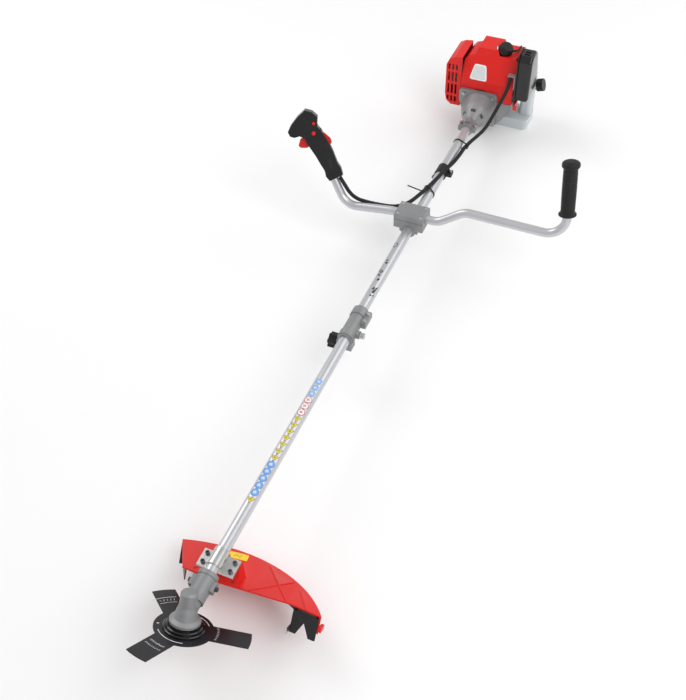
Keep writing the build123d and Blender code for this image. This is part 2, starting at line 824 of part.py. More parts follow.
def cable_ties(loom):
    """A band round tube and loom at each tie, with its lock and cut tail."""
    bands = []
    for x, lock_turn, tail in zip(tie_x, (10, -100), (46.0, 5.0)):
        centre = (loom & slab(x - 2.5, x + 2.5, -60, 60, -60, 60)).center()
        reach = hypot(centre.Y, centre.Z)
        turn = degrees(atan2(centre.Z, centre.Y))
        big, small = tube_r + 0.4, loom_r + 0.9
        inner = make_hull((Circle(big) + Pos(reach, 0) * Circle(small)).edges())
        outer = make_hull((Circle(big + 1.4) + Pos(reach, 0) * Circle(small + 1.4)).edges())
        band = Rot(0, 0, turn) * extrude(outer - inner, 4.0)
        lock = Pos(big + 3.0, 0, 2) * Box(4.4, 7, 6)
        lock += Pos(big + 3.0 + tail / 2, 0, 2) * Box(tail, 1.2, 3.6)
        band += Rot(0, 0, lock_turn) * lock
        at = Plane(origin=(x - 2, 0, 0), x_dir=(0, 1, 0), z_dir=(1, 0, 0)).location
        bands.append(at * band)
    return Compound(children=bands)


# ------------------------------------------------------------------ engine
def clutch_housing():
    x = engine_x
    outline = [
        (0, 1519),
        (17.5, 1519),
        (17.5, 1556),
        (21, 1562),
        (40, x - 44),
        (52, x - 10),
        (53, x),
        (0, x),
    ]
    shell = turned([(r, h) for r, h in outline])
    to_shaft = Plane(origin=(0, 0, 0), x_dir=(0, 1, 0), z_dir=(1, 0, 0)).location
    body = to_shaft * shell
    corners = [(61, 18), (61, 55), (-51, 55), (-51, -51), (34, -51), (47, -22)]
    flange = make_face(Polyline(*corners, close=True))
    flange = fillet(flange.vertices(), 8)
    body += to_shaft * Pos(0, 0, x - 8) * extrude(flange, 8)
    body += slab(1522, 1552, -25, 25, -6.5, 6.5)
    body += slab(1530, 1552, -7, 7, 12, 24)
    body -= shaft_rod(1510, 1559, tube_r + static_gap)
    body -= shaft_rod(1550, 1600, 8 + running_gap)
    body -= to_shaft * turned([(0, x - 42), (drum_r + 1.6, x - 42), (drum_r + 1.6, x - 12), (46, x - 8), (46, x + 1), (0, x + 1)])
    body -= slab(1515, 1556, -1.2, 1.2, -30, -10)
    # air slots cast near the neck
    for turn in (0, 60, -60, 120, -120, 180):
        body -= Rot(turn, 0, 0) * slab(1574, 1582, -7, 7, 14, 60)
    for y, z in flange_holes():
        body -= rod((x - 12, y, z), (x + 1, y, z), 2.6)
        body -= rod((x - 40, y, z), (x - 8, y, z), 5.5)
    for side in (1, -1):
        body -= rod((1537, side * 21, -10), (1537, side * 21, 10), 2.6)
    body -= rod((1541, 0, 10), (1541, 0, 30), 2.6)
    return body


def flange_holes():
    return [(48.0, 42.0), (-38.0, 42.0), (30.0, -43.0), (-38.0, -38.0)]


def engine_screws():
    screws = []
    for y, z in flange_holes():
        screws.append(cap_screw((engine_x - 8, y, z), (engine_x + 14, y, z), 2.5, 4.6, 5))
    for side in (1, -1):
        screws.append(cap_screw((1537, side * 21, 6.5), (1537, side * 21, -6), 2.5, 4.4, 4.5))
    screws.append(cap_screw((1541, 0, 24), (1541, 0, 13.6), 2.5, 4.4, 4.5))
    return Compound(children=screws)


def clutch_drum():
    cup = shaft_rod(1600, 1630, drum_r) - shaft_rod(1604, 1631, drum_r - 3)
    hub = shaft_rod(1561, 1601, 8)
    return cup + hub - shaft_rod(1560, 1600.2, drive_r + static_gap)


def clutch_shoes():
    inner = drum_r - 3 - shoe_gap
    ring = shaft_rod(1609, 1626, inner) - shaft_rod(1608, 1627, 21)
    ring -= slab(1608, 1627, -60, 60, -4, 4)
    body = ring + shaft_rod(1609, 1626, 13)
    body += slab(1612, 1623, -5, 5, -24, 24)
    return body - shaft_rod(1600, 1630, crank_r + static_gap)


def crankshaft():
    body = shaft_rod(1609, 1743, crank_r)
    for x in (1697, 1716):
        body += shaft_rod(x, x + 9, 24) & slab(x, x + 9, -17, 17, -24, 24)
    body += rod((1700, 0, 14), (1722, 0, 14), 6)
    body -= shaft_rod(1706.2, 1715.8, 7.6) & slab(1706.2, 1715.8, -9, 9, -9, 7.6)
    return body


def flywheel():
    body = shaft_rod(fan_x + 12, fan_x + 20, fan_r) + shaft_rod(fan_x + 4, fan_x + fan_len, 16)
    for i in range(14):
        vane = slab(fan_x + 2, fan_x + 14, -1.2, 1.2, 22, fan_r - 1)
        body += Rot(i * 360 / 14, 0, 0) * vane
    body += slab(fan_x + 18, fan_x + 27, -9, 9, 26, fan_r - 2)
    return body - shaft_rod(fan_x, fan_x + fan_len + 5, crank_r + static_gap)


def crankcase():
    x0, x1 = case_x, case_x + case_len
    front = engine_x + static_gap
    body = shaft_rod(x0, x1, 38) + slab(x0, x1, -34, 34, -48, 37.8)
    body += slab(x0 + 22, x1 - 2, -30, 30, tank_top + 0.1, -44)
    body -= shaft_rod(x0 + 8, x1 - 8, 27)
    body -= post((x0 + x1) / 2, 0, 0, 50, 20.3)
    # fan housing in front of it, closed by the clutch housing's flange
    scroll = [(-40, 26), (-87, 26), (-85, 6), (-68, -28), (-50, -50), (-30, -50)]
    ring = shaft_rod(front, x0 + 3, 53) + shaft_flat(scroll, front + 1, x0 + 3)
    for y, z in flange_holes():
        ring += rod((front, y, z), (x0 + 3, y, z), 6.5)
    ring -= shaft_rod(front - 1, x0 - 3, 50)
    for turn in (0, 90, 180):
        ring -= Rot(turn, 0, 0) * slab(front + 12, x0 - 8, -18, 18, 45, 60)
    for y, z in flange_holes():
        ring -= rod((front - 1, y, z), (front + 16, y, z), 2.5 + static_gap)
    body += ring
    return body - shaft_rod(front - 1, x1 + 1, crank_r + running_gap)


def plug_axis():
    start = Vector(case_x + 23, -26, 134)
    return start, Vector(-0.3, -0.5, 0.81).normalized()


def cylinder():
    mid = case_x + case_len / 2
    body = post(mid, 0, 38.1, 127, 23.7) + slab(mid - 22, mid + 22, -30, 30, 38.1, 43)
    for i in range(10):
        fin = Pos(mid, 0, 59 + i * 6.9) * extrude(RectangleRounded(58, 68, 18), 2.4)
        body += fin
    body += rod((mid, 18, 74), (mid, 57, 74), 10) + rod((mid, -18, 74), (mid, -79, 74), 9)
    start, d = plug_axis()
    body += rod(tuple(start - d * 16), tuple(start), 11)
    body -= post(mid, 0, 37, 120, 20.06)
    body -= rod((mid, 15, 74), (mid, 60, 74), 7) + rod((mid, -15, 74), (mid, -80, 74), 6)
    body -= rod(tuple(start - d * 9), tuple(start + d), 5 + static_gap)
    return body


def shroud_face(inset):
    """Section across the shaft, as (y, z)."""
    k = inset
    left, right, top = shroud_left - k, shroud_right - k, shroud_top - k
    return [
        (left, 28),
        (left, 132 - k / 2),
        (50 - k / 2, 144 - k),
        (32 - k, 150 - k),
        (26 - k, top),
        (k - 31, top),
        (k - 36, 155 - k),
        (8 + k / 2 - shroud_right, 155 - k),
        (-right, 145 - k / 2),
        (-right, 28),
    ]


def engine_shroud():
    x0, x1 = engine_x + 1, case_x + case_len + 6
    outer = shaft_flat(shroud_face(0), x0, x1)
    inner = shaft_flat([(y, 27 if z == 28 else z) for y, z in shroud_face(2.5)], x0 - 1, x1 - 2.5)
    slope = [(x0 - 60, 84), (x0, 84), (x0 + 44, 184), (x0 - 60, 184)]
    outer -= side_plate(slope, -100, 100)
    slope_in = [(x + 3.2, z) for x, z in slope]
    low_front = slab(x0 - 5, x0 + 2.5, -100, 100, -20, 85)
    body = outer - (inner - side_plate(slope_in, -100, 100) - low_front)
    # the clutch housing's flange closes the lower front, the recoil unit the back
    body -= shaft_rod(engine_x - 5, x1 - 3, 58)
    for y, z in flange_holes():
        body -= rod((engine_x - 1, y, z), (case_x + 1, y, z), 7.2)
    body -= shaft_rod(x1 - 4, x1 + 1, 50)
    mid = case_x + case_len / 2
    body -= rod((mid, 40, 74), (mid, 80, 74), 14)
    body -= slab(mid - 36, x1 + 1, -shroud_right - 1, -shroud_right + 4, 44, 124)
    start, d = plug_axis()
    body -= rod(tuple(start + d * 8), tuple(start + d * 120), 22)
    for i in range(4):
        body -= slab(x1 - 20, x1 + 2, -40 + i * 14, -33 + i * 14, 100, 146)
    return body


def muffler():
    mid = case_x + case_len / 2
    body = slab(mid - 36, mid + 26, 64, 98, 28, 118)
    body = fillet(body.edges().filter_by(Axis.Y), 12)
    body -= slab(mid - 34.5, mid + 24.5, 65.5, 96.5, 40, 106)
    body -= slab(mid - 24, mid + 14, 65.5, 96.5, 29.5, 116.5)
    body += rod((mid, 57.5, 74), (mid, 66, 74), 11) - rod((mid, 50, 74), (mid, 70, 74), 7)
    body -= rod((mid, 60, 74), (mid, 70, 74), 7)
    body += rod((mid - 20, 84, 30), (mid - 20, 84, 18), 7)
    body -= rod((mid - 20, 84, 32), (mid - 20, 84, 10), 5.5)
    return body


def muffler_face(inset):
    out = muffler_out - inset
    side = muffler_side - (1 if inset else 0)
    return [
        (side, -12 + inset),
        (out - 18, -12 + inset),
        (out - 4, inset),
        (out, 24),
        (out, 116),
        (out - 8, 134 - inset),
        (out - 24, 143 - inset),
        (side, 146 - inset),
    ]


def muffler_guard():
    x0, x1 = engine_x + 4, case_x + case_len + 4
    body = shaft_flat(muffler_face(0), x0, x1) - shaft_flat(muffler_face(2.5), x0 + 2.5, x1 - 2.5)
    # vents in the front face and down the outer side
    for z0, z1 in ((-2, 16), (24, 56), (64, 94), (102, 120)):
        for i in range(3):
            y = muffler_side + 12 + i * 11
            body -= slab(x0 - 2, x0 + 5, y, y + 6, z0, z1)
        if z0 > 20 and z1 < 98:
            for i in range(4):
                x = x0 + 12 + i * 18
                body -= slab(x, x + 8, muffler_out - 24, muffler_out + 2, z0, z1)
    return body


def spark_plug():
    start, d = plug_axis()
    body = rod(tuple(start - d * 8), tuple(start + d * 0.5), 5)
    hex_at = Plane(origin=start, z_dir=d).location
    body += hex_at * extrude(RegularPolygon(9, 6), 8)
    return body + rod(tuple(start + d * 7), tuple(start + d * 34), 5.5)


def plug_boot():
    start, d = plug_axis()
    at = Plane(origin=start, z_dir=d).location
    body = at * turned([(0, 12), (10, 12), (11, 22), (18, 28), (21, 38), (20, 48), (14, 56), (0, 58)])
    body -= rod(tuple(start + d * 10), tuple(start + d * 34.2), 5.6)
    centre = start + d * 40
    lead = [centre, Vector(1702, -72, 163), Vector(1720, -79, 158.8), Vector(1739, -79, 158.8)]
    cable, path = swept_loom(lead, 2.6)
    return body + cable


def carburettor():
    mid = case_x + case_len / 2
    body = slab(mid - 17, mid + 17, -96, -79.2, 56, 92)
    body += post(mid - 4, -88, 91, 95, 7)
    # arm that holds the end of the control loom
    body += slab(mid - 75, mid - 16, -96, -93, 82, 92) + slab(mid - 75, mid - 62, -96, -93, 82, 123)
    body += slab(mid - 75, mid - 60, -96, -74, 120.5, 123)
    body -= rod((mid, -70, 74), (mid, -100, 74), 7)
    body += post(mid - 4, -88, 94, 99.5, 3)
    return body


def carb_lever():
    mid = case_x + case_len / 2
    body = post(mid - 4, -88, 95.3, 98.3, 6.5) + slab(mid - 26, mid - 6, -92, -84, 95.3, 98.3)
    body += post(mid - 23, -88, 95.3, 102, 2.5)
    return body - post(mid - 4, -88, 90, 102, 3 + running_gap)


def filter_base():
    y = -filter_side
    outline = [
        (1640, 20),
        (1690, 20),
        (1726, 46),
        (1728, 112),
        (1703, 180),
        (1688, 190),
        (1648, 190),
        (1636, 172),
        (1636, 40),
    ]
    body = side_plate(outline, y - 4, y)
    mid = case_x + case_len / 2
    body -= rod((mid, -80, 74), (mid, -110, 74), 7)
    body -= rod((1656, -90, 34), (1656, -110, 34), 3 + running_gap)
    return body


def filter_outline(inset):
    k = inset
    low = [(1638 + k, 50 + k), (1722 - k, 54 + k), (1725 - k, 111)]
    high = [(1701 - k, 177 - k / 2), (1686 - k / 2, 187 - k), (1650 + k / 2, 187 - k)]
    return low + high + [(1638 + k, 171)]


def filter_cover():
    y0, y1 = -filter_out, -filter_side - 4.2
    body = side_plate(filter_outline(0), y0, y1)
    body = fillet(body.faces().sort_by(Axis.Y)[0].edges(), 8)
    body -= side_plate(filter_outline(3), y0 + 3, y1 + 1)
    for i in range(2):
        x = 1655 + i * 12
        body -= slab(x, x + 6, y1 - 24, y1 - 8, 176, 196)
    return body


def choke_lever():
    y = -filter_side - 4.3
    body = rod((1656, y, 34), (1656, y - 4, 34), 8) + rod((1656, y + 6, 34), (1656, y - 1, 34), 3)
    return body + slab(1622, 1656, y - 4, y, 30, 38) + slab(1620, 1625, y - 12, y, 28, 40)


def floor_height(x):
    """Height of the floor under the shaft frame's X axis."""
    a = radians(rest_tilt)
    foot = head_plane().location * Pos(guard_r - guard_wall - skin_gap, 0, -skirt_drop)
    p = foot.position
    return p.Z + (x - p.X) * tan(a)


def cap_axis():
    a = radians(cap_tilt)
    return Vector(1760, -tank_right + 6, 29), Vector(0, -sin(a), cos(a))


def tank_volume(inset):
    """Outside of the tank, or the fuel's space when inset by the wall."""
    k = inset
    low = slab(1704 + k, 1786 - k, k - tank_right, tank_left - k, -125, tank_top - k)
    low = chamfer(low.edges().filter_by(Axis.X).group_by(Axis.Z)[0], 20)
    low = fillet(low.edges().filter_by(Axis.Z), 14 - k)
    tower = slab(1734 + k, 1784.5 - k, 1.5 + k - tank_right, 35 - k - tank_right, tank_top - 12, 62 - k)
    tower = fillet(tower.edges().filter_by(Axis.Z), 11 - k)
    body = low + tower
    ground = slab(-300, 300, -300, 300, -100, 0)
    turn = Pos(1750, 0, floor_height(1750) + k) * Rot(0, -rest_tilt, 0)
    return body - turn * ground


def fuel_tank():
    base, d = cap_axis()
    body = tank_volume(0) + rod(tuple(base - d * 12), tuple(base + d * 27), 14.0)
    body -= tank_volume(tank_wall)
    body -= rod(tuple(base - d * 10), tuple(base + d * 28), 12.0)
    return body


def fuel_cap():
    base, d = cap_axis()
    at = Plane(origin=base + d * 12.5, z_dir=d).location
    face = Circle(cap_r)
    for i in range(20):
        face -= Rot(0, 0, i * 18) * Pos(cap_r + 0.6, 0) * Circle(1.6)
    body = extrude(face, 19)
    body -= Pos(0, 0, -1) * extrude(Circle(14.0 + running_gap), 16.5)
    return at * body


def recoil_housing():
    x0, x1 = case_x + case_len + 8, case_x + case_len + 8 + recoil_len
    body = shaft_rod(x0, x1, recoil_r)
    body = fillet(body.faces().sort_by(Axis.X)[-1].edges(), 8)
    body -= shaft_rod(x0 - 1, x1 - 3, recoil_r - 2.8)
    body += shaft_rod(x0 + 6, x1 - 2, 6)
    body += slab(x0 + 4, x0 + 18, 10, 30, 40, 57) & shaft_rod(x0, x1, recoil_r)
    body -= post(x0 + 11, rope_line(), 20, 80, rope_r + 1.0)
    for i in range(8):
        slot = slab(x1 - 5, x1 + 2, -3, 3, 26, 50)
        body -= Rot(22.5 + i * 45, 0, 0) * slot
    body &= slab(x0 - 1, x1 + 1, -80, 80, tank_top + 2, 80)
    return body


def rope_line():
    """Distance of the rope's centre from the pulley's axis."""
    return pulley_r - 3 + rope_r


def starter_pulley():
    x = case_x + case_len + 8 + 11
    body = shaft_rod(x - 4.5, x + 4.5, pulley_r)
    body -= shaft_rod(x - 2.4, x + 2.4, pulley_r + 1) - shaft_rod(x - 3, x + 3, pulley_r - 3)
    return body - shaft_rod(x - 6, x + 6, 6 + running_gap)


def starter_handle():
    x = case_x + case_len + 8 + 11
    y = rope_line()
    body = rod((x, y - 30, 74), (x, y + 30, 74), 8.5)
    body = fillet(body.edges(), 3)
    body += post(x, y, 61, 74, 7)
    return body


def starter_rope():
    x = case_x + case_len + 8 + 11
    return post(x, rope_line(), 1, 60.8, rope_r)


def assemble():
    """All pieces in the shaft's frame, by node name."""
    nodes = {}
    nodes["gear_head_housing"] = gear_head()
    nodes["bevel_pinion"], nodes["bevel_gear"] = gear_pair()
    output, holder, lower, nut = output_parts()
    nodes["output_shaft"] = output
    nodes["blade_holder"] = holder
    nodes["blade"] = blade()
    nodes["blade_flange"] = lower
    nodes["blade_nut"] = nut
    nodes["guard"] = guard()
    nodes["guard_skirt"] = guard_skirt()
    nodes["line_cutter"] = line_cutter()
    nodes["guard_bracket"] = guard_bracket()
    nodes["head_screws"] = head_screws()
    nodes["lower_tube"], nodes["upper_tube"] = tubes()
    nodes["lower_drive_shaft"], nodes["upper_drive_shaft"] = drive_shafts()
    nodes["shaft_bushings"] = shaft_bushings()
    nodes["coupler_body"] = coupler()
    nodes["coupler_knob"] = coupler_knob()
    nodes["lock_pin"] = lock_pin()
    nodes["lock_pin_spring"] = lock_pin_spring()
    nodes["handle_clamp_lower"], nodes["handle_clamp_upper"] = handle_clamp()
    nodes["clamp_screws"] = clamp_screws()
    nodes["handlebar"] = handlebar()
    nodes["rubber_grip"] = rubber_grip()
    nodes["throttle_grip_left"], nodes["throttle_grip_right"] = throttle_shells()
    nodes["throttle_trigger"] = throttle_trigger()
    nodes["trigger_lockout"] = trigger_lockout()
    nodes["stop_switch"] = stop_switch()
    nodes["throttle_lock_button"] = lock_button()
    nodes["harness_clamp"] = harness_clamp()
    nodes["control_loom"] = control_loom()
    nodes["cable_ties"] = cable_ties(nodes["control_loom"])
    nodes["clutch_housing"] = clutch_housing()
    nodes["engine_screws"] = engine_screws()
    nodes["clutch_drum"] = clutch_drum()
    nodes["clutch_shoes"] = clutch_shoes()
    nodes["crankshaft"] = crankshaft()
    nodes["flywheel"] = flywheel()
    nodes["crankcase"] = crankcase()
    nodes["cylinder"] = cylinder()
    nodes["engine_shroud"] = engine_shroud()
    nodes["muffler"] = muffler()
    nodes["muffler_guard"] = muffler_guard()
    nodes["spark_plug"] = spark_plug()
    nodes["plug_boot"] = plug_boot()
    nodes["carburettor"] = carburettor()
    nodes["carb_throttle_lever"] = carb_lever()
    nodes["filter_base"] = filter_base()
    nodes["filter_cover"] = filter_cover()
    nodes["choke_lever"] = choke_lever()
    nodes["fuel_tank"] = fuel_tank()
    nodes["fuel_cap"] = fuel_cap()
    nodes["recoil_housing"] = recoil_housing()
    nodes["starter_pulley"] = starter_pulley()
    nodes["starter_handle"] = starter_handle()
    nodes["starter_rope"] = starter_rope()
    return nodes


def place_on_floor(nodes):
    """Location that lays the machine down, centred over its footprint box."""
    lie = Rot(0, rest_tilt, 0)
    low = [1e9, 1e9, 1e9]
    high = [-1e9, -1e9, -1e9]
    for shape in nodes.values():
        box = (lie * shape).bounding_box()
        low = [min(a, b) for a, b in zip(low, box.min)]
        high = [max(a, b) for a, b in zip(high, box.max)]
    return Pos(-(low[0] + high[0]) / 2, -(low[1] + high[1]) / 2, -low[2]) * lie


def main():
    nodes = assemble()
    place = place_on_floor(nodes)
    for name, shape in nodes.items():
        export_step(place * shape, f"parts/{name}.step")
    print(len(nodes), "nodes, placed at", place.position)


if __name__ == "__main__":
    main()
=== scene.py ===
import json
import bmesh
import bpy
import numpy as np
from mathutils import Matrix, Vector


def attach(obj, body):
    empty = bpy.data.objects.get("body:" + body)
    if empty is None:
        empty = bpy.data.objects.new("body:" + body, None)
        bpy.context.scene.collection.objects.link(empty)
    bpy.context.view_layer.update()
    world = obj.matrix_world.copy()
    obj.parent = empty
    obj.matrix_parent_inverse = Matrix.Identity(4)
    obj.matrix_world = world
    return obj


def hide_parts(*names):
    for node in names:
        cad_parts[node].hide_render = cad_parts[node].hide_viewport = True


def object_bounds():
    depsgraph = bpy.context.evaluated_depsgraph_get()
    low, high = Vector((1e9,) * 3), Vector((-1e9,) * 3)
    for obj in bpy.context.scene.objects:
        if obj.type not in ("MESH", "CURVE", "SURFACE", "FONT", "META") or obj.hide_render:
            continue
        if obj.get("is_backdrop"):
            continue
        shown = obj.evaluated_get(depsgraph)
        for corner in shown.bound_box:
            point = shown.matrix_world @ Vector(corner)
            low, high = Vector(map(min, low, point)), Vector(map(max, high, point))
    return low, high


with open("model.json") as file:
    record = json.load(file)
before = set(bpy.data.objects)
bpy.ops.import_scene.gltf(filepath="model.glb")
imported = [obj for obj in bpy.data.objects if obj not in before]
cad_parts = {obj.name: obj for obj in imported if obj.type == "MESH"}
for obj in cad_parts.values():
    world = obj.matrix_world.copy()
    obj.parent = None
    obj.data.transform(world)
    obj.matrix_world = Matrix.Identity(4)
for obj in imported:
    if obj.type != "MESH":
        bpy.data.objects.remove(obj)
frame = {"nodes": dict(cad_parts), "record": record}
cadLow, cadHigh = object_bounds()
record = frame["record"]
joints = {j["name"]: j for j in record["behaviour"]["joints"]}
print("frame loaded,", len(frame["nodes"]), "nodes")

def unit(v):
    v = np.asarray(v, float)
    return v / np.linalg.norm(v)


shaftX = unit(joints["drive_spin"]["axis"])   # the shaft's frame: x to the engine, y to the throttle hand
shaftZ = unit(joints["carb_lever_turn"]["axis"])
shaftY = np.cross(shaftZ, shaftX)
gearApex = 0.088   # m from the end of the tube to where the gears' axes cross
shaftStart = np.array(joints["drive_spin"]["pos_m"]) + gearApex * shaftX   # where the tube enters the head
shaftAxes = np.stack([shaftX, shaftY, shaftZ])


def place(points):  # shaft millimetres to the row's metres
    return np.asarray(points, float) @ shaftAxes * 0.001 + shaftStart


cameraSettings = {
    "position": (-742.2, -643.7, 1671.3),   # in the shaft's frame, mm
    "right": (0.39627, -0.91778, -0.02545),
    "forward": (0.60633, 0.28241, -0.74338),
    "lens": 50.8,
}
stageSettings = {
    "floorColor": (0.93, 0.93, 0.93),
    "floorSize": 14.0,
    "keyPower": 62.0,
    "fillPower": 26.0,
    "rimPower": 34.0,
    "skyStrength": 0.62,
}


def makeCamera(s):
    data = bpy.data.cameras.new("camera")
    data.lens = s["lens"]
    data.sensor_width = 36
    data.clip_end = 60
    cam = bpy.data.objects.new("camera", data)
    right = unit(np.array(s["right"]) @ shaftAxes)
    back = -unit(np.array(s["forward"]) @ shaftAxes)
    up = np.cross(back, right)
    turn = np.eye(4)
    turn[:3, 0], turn[:3, 1], turn[:3, 2] = right, up, back
    turn[:3, 3] = place(s["position"])
    cam.matrix_world = Matrix(turn.tolist())
    bpy.context.collection.objects.link(cam)
    bpy.context.scene.camera = cam


def areaLight(name, where, power, size, color=(1, 1, 1)):
    data = bpy.data.lights.new(name, "AREA")
    data.energy, data.size, data.color = power, size, color
    lamp = bpy.data.objects.new(name, data)
    lamp.location = where
    lamp.rotation_euler = (Vector((0, 0, 0.15)) - Vector(where)).to_track_quat("-Z", "Y").to_euler()
    bpy.context.collection.objects.link(lamp)


makeCamera(cameraSettings)
bpy.context.scene.view_settings.view_transform = "Standard"


class Sock:   # a socket that takes part in sums
    def __init__(self, tree, out):
        self.tree, self.out = tree, out

    def math(self, op, a, b=None, c=None):
        values = [v for v in (a, b, c) if v is not None]
        return node(self.tree, "ShaderNodeMath", {"operation": op}, dict(enumerate(values)))

    def __add__(self, o): return self.math("ADD", self, o)
    def __radd__(self, o): return self.math("ADD", o, self)
    def __sub__(self, o): return self.math("SUBTRACT", self, o)
    def __rsub__(self, o): return self.math("SUBTRACT", o, self)
    def __mul__(self, o): return self.math("MULTIPLY", self, o)
    def __rmul__(self, o): return self.math("MULTIPLY", o, self)
    def __truediv__(self, o): return self.math("DIVIDE", self, o)
    def __pow__(self, o): return self.math("POWER", self, o)
    def over(self, o): return self.math("GREATER_THAN", self, o)
    def under(self, o): return self.math("LESS_THAN", self, o)
    def most(self, o): return self.math("MAXIMUM", self, o)
    def sine(self): return self.math("SINE", self)
    def step(self, low, high):  # 0 below low, 1 above high, smooth between
        return node(self.tree, "ShaderNodeMapRange", {"interpolation_type": "SMOOTHSTEP"},
                    {"Value": self, "From Min": low, "From Max": high})


def node(tree, kind, settings=None, sockets=None, output=0):  # settings first, then values or links
    made = tree.nodes.new(kind)
    for key, value in (settings or {}).items():
        setattr(made, key, value)
    for key, value in (sockets or {}).items():
        if isinstance(value, Sock):
            tree.links.new(value.out, made.inputs[key])
        else:
            made.inputs[key].default_value = value
    return Sock(tree, made.outputs[output])


def mixColor(tree, factor, a, b):
    def full(c): return c if isinstance(c, Sock) else (*c, 1)
    return node(tree, "ShaderNodeMix", {"data_type": "RGBA"}, {0: factor, 6: full(a), 7: full(b)}, 2)


def noise(tree, where, scale, detail=4.0, rough=0.55):
    inputs = {"Vector": where, "Scale": scale, "Detail": detail, "Roughness": rough}
    return node(tree, "ShaderNodeTexNoise", {}, inputs)


def stretched(tree, where, scale):  # object coordinates scaled by a different amount along each axis
    return node(tree, "ShaderNodeMapping", {}, {"Vector": where, "Scale": scale})


def newMaterial(name):
    mat = bpy.data.materials.new(name)
    mat.use_nodes = True
    tree = mat.node_tree
    tree.nodes.clear()
    bsdf = tree.nodes.new("ShaderNodeBsdfPrincipled")
    out = tree.nodes.new("ShaderNodeOutputMaterial")
    tree.links.new(bsdf.outputs[0], out.inputs[0])
    where = node(tree, "ShaderNodeTexCoord", output=3)
    return mat, tree, bsdf, where


def feed(tree, bsdf, **values):
    for key, value in values.items():
        socket = bsdf.inputs[key.replace("_", " ")]
        if isinstance(value, Sock):
            tree.links.new(value.out, socket)
        else:
            socket.default_value = value


def bump(tree, height, strength, distance):
    return node(tree, "ShaderNodeBump", {}, {"Strength": strength, "Distance": distance, "Height": height})


def wornEdges(tree, where, amount):  # scuffs: sparse blotches of fine noise
    patches = noise(tree, where, 9.0, 3.0).step(0.56, 0.72)
    fine = noise(tree, where, 160.0, 5.0, 0.7).step(0.52, 0.68)
    return patches * fine * amount


def metalLook(name, s):
    mat, tree, bsdf, where = newMaterial(name)
    cloud = noise(tree, where, s["cloud"], 4.0)
    grain = noise(tree, where, s["grain"], 3.0, 0.6)
    streak = noise(tree, stretched(tree, where, s["streak"]), 1.0, 2.0)
    dark = tuple(c * s["shade"] for c in s["color"])
    color = mixColor(tree, cloud.step(0.3, 0.7), dark, s["color"])
    scratch = wornEdges(tree, where, s["wear"])
    color = mixColor(tree, scratch, color, s["worn"])
    feed(tree, bsdf, Base_Color=color, Metallic=s["metallic"],
         Roughness=(s["rough"] + (streak - 0.5) * s["roughSwing"] + (grain - 0.5) * 0.08).most(0.06),
         Normal=bump(tree, grain * s["grainDepth"] + streak * s["streakDepth"], s["bump"], 0.001))
    return mat


def plasticLook(name, s):
    mat, tree, bsdf, where = newMaterial(name)
    cloud = noise(tree, where, 5.0, 3.0)
    grain = noise(tree, where, s["grain"], 2.0, 0.6)
    dust = noise(tree, where, 38.0, 6.0, 0.65).step(0.55, 0.8)
    dark = tuple(c * s["shade"] for c in s["color"])
    color = mixColor(tree, cloud.step(0.3, 0.7), dark, s["color"])
    color = mixColor(tree, dust * s["dust"], color, s["dustColor"])
    color = mixColor(tree, wornEdges(tree, where, s["wear"]), color, s["worn"])
    feed(tree, bsdf, Base_Color=color, Metallic=0.0,
         Coat_Weight=s["coat"], Coat_Roughness=0.12, Specular_IOR_Level=0.32,
         Roughness=s["rough"] + dust * 0.12 + (grain - 0.5) * s["roughSwing"],
         Normal=bump(tree, grain, s["bump"], 0.0006))
    return mat


metals = {
    "cast_aluminium": {
        "color": (0.30, 0.303, 0.308), "shade": 0.82, "cloud": 14.0, "grain": 900.0,
        "streak": (40, 40, 40), "rough": 0.46, "roughSwing": 0.10, "grainDepth": 1.0,
        "streakDepth": 0.1, "bump": 0.35, "metallic": 0.45, "wear": 0.3, "worn": (0.42, 0.42, 0.43),
    },
    "tube_aluminium": {
        "color": (0.60, 0.605, 0.63), "shade": 0.93, "cloud": 6.0, "grain": 700.0,
        "streak": (3, 900, 900), "rough": 0.34, "roughSwing": 0.12, "grainDepth": 0.15,
        "streakDepth": 0.5, "bump": 0.10, "metallic": 0.72, "wear": 0.18, "worn": (0.55, 0.55, 0.56),
    },
    "bright_steel": {
        "color": (0.62, 0.62, 0.61), "shade": 0.85, "cloud": 30.0, "grain": 800.0,
        "streak": (120, 120, 120), "rough": 0.30, "roughSwing": 0.15, "grainDepth": 0.5,
        "streakDepth": 0.3, "bump": 0.15, "metallic": 1.0, "wear": 0.3, "worn": (0.35, 0.33, 0.31),
    },
    "dark_steel": {
        "color": (0.13, 0.13, 0.135), "shade": 0.7, "cloud": 24.0, "grain": 600.0,
        "streak": (90, 90, 90), "rough": 0.42, "roughSwing": 0.15, "grainDepth": 0.6,
        "streakDepth": 0.3, "bump": 0.2, "metallic": 0.85, "wear": 0.4, "worn": (0.36, 0.33, 0.30),
    },
    "gear_steel": {
        "color": (0.42, 0.42, 0.43), "shade": 0.8, "cloud": 26.0, "grain": 700.0,
        "streak": (200, 60, 60), "rough": 0.32, "roughSwing": 0.12, "grainDepth": 0.5,
        "streakDepth": 0.5, "bump": 0.15, "metallic": 1.0, "wear": 0.3, "worn": (0.25, 0.24, 0.23),
    },
}
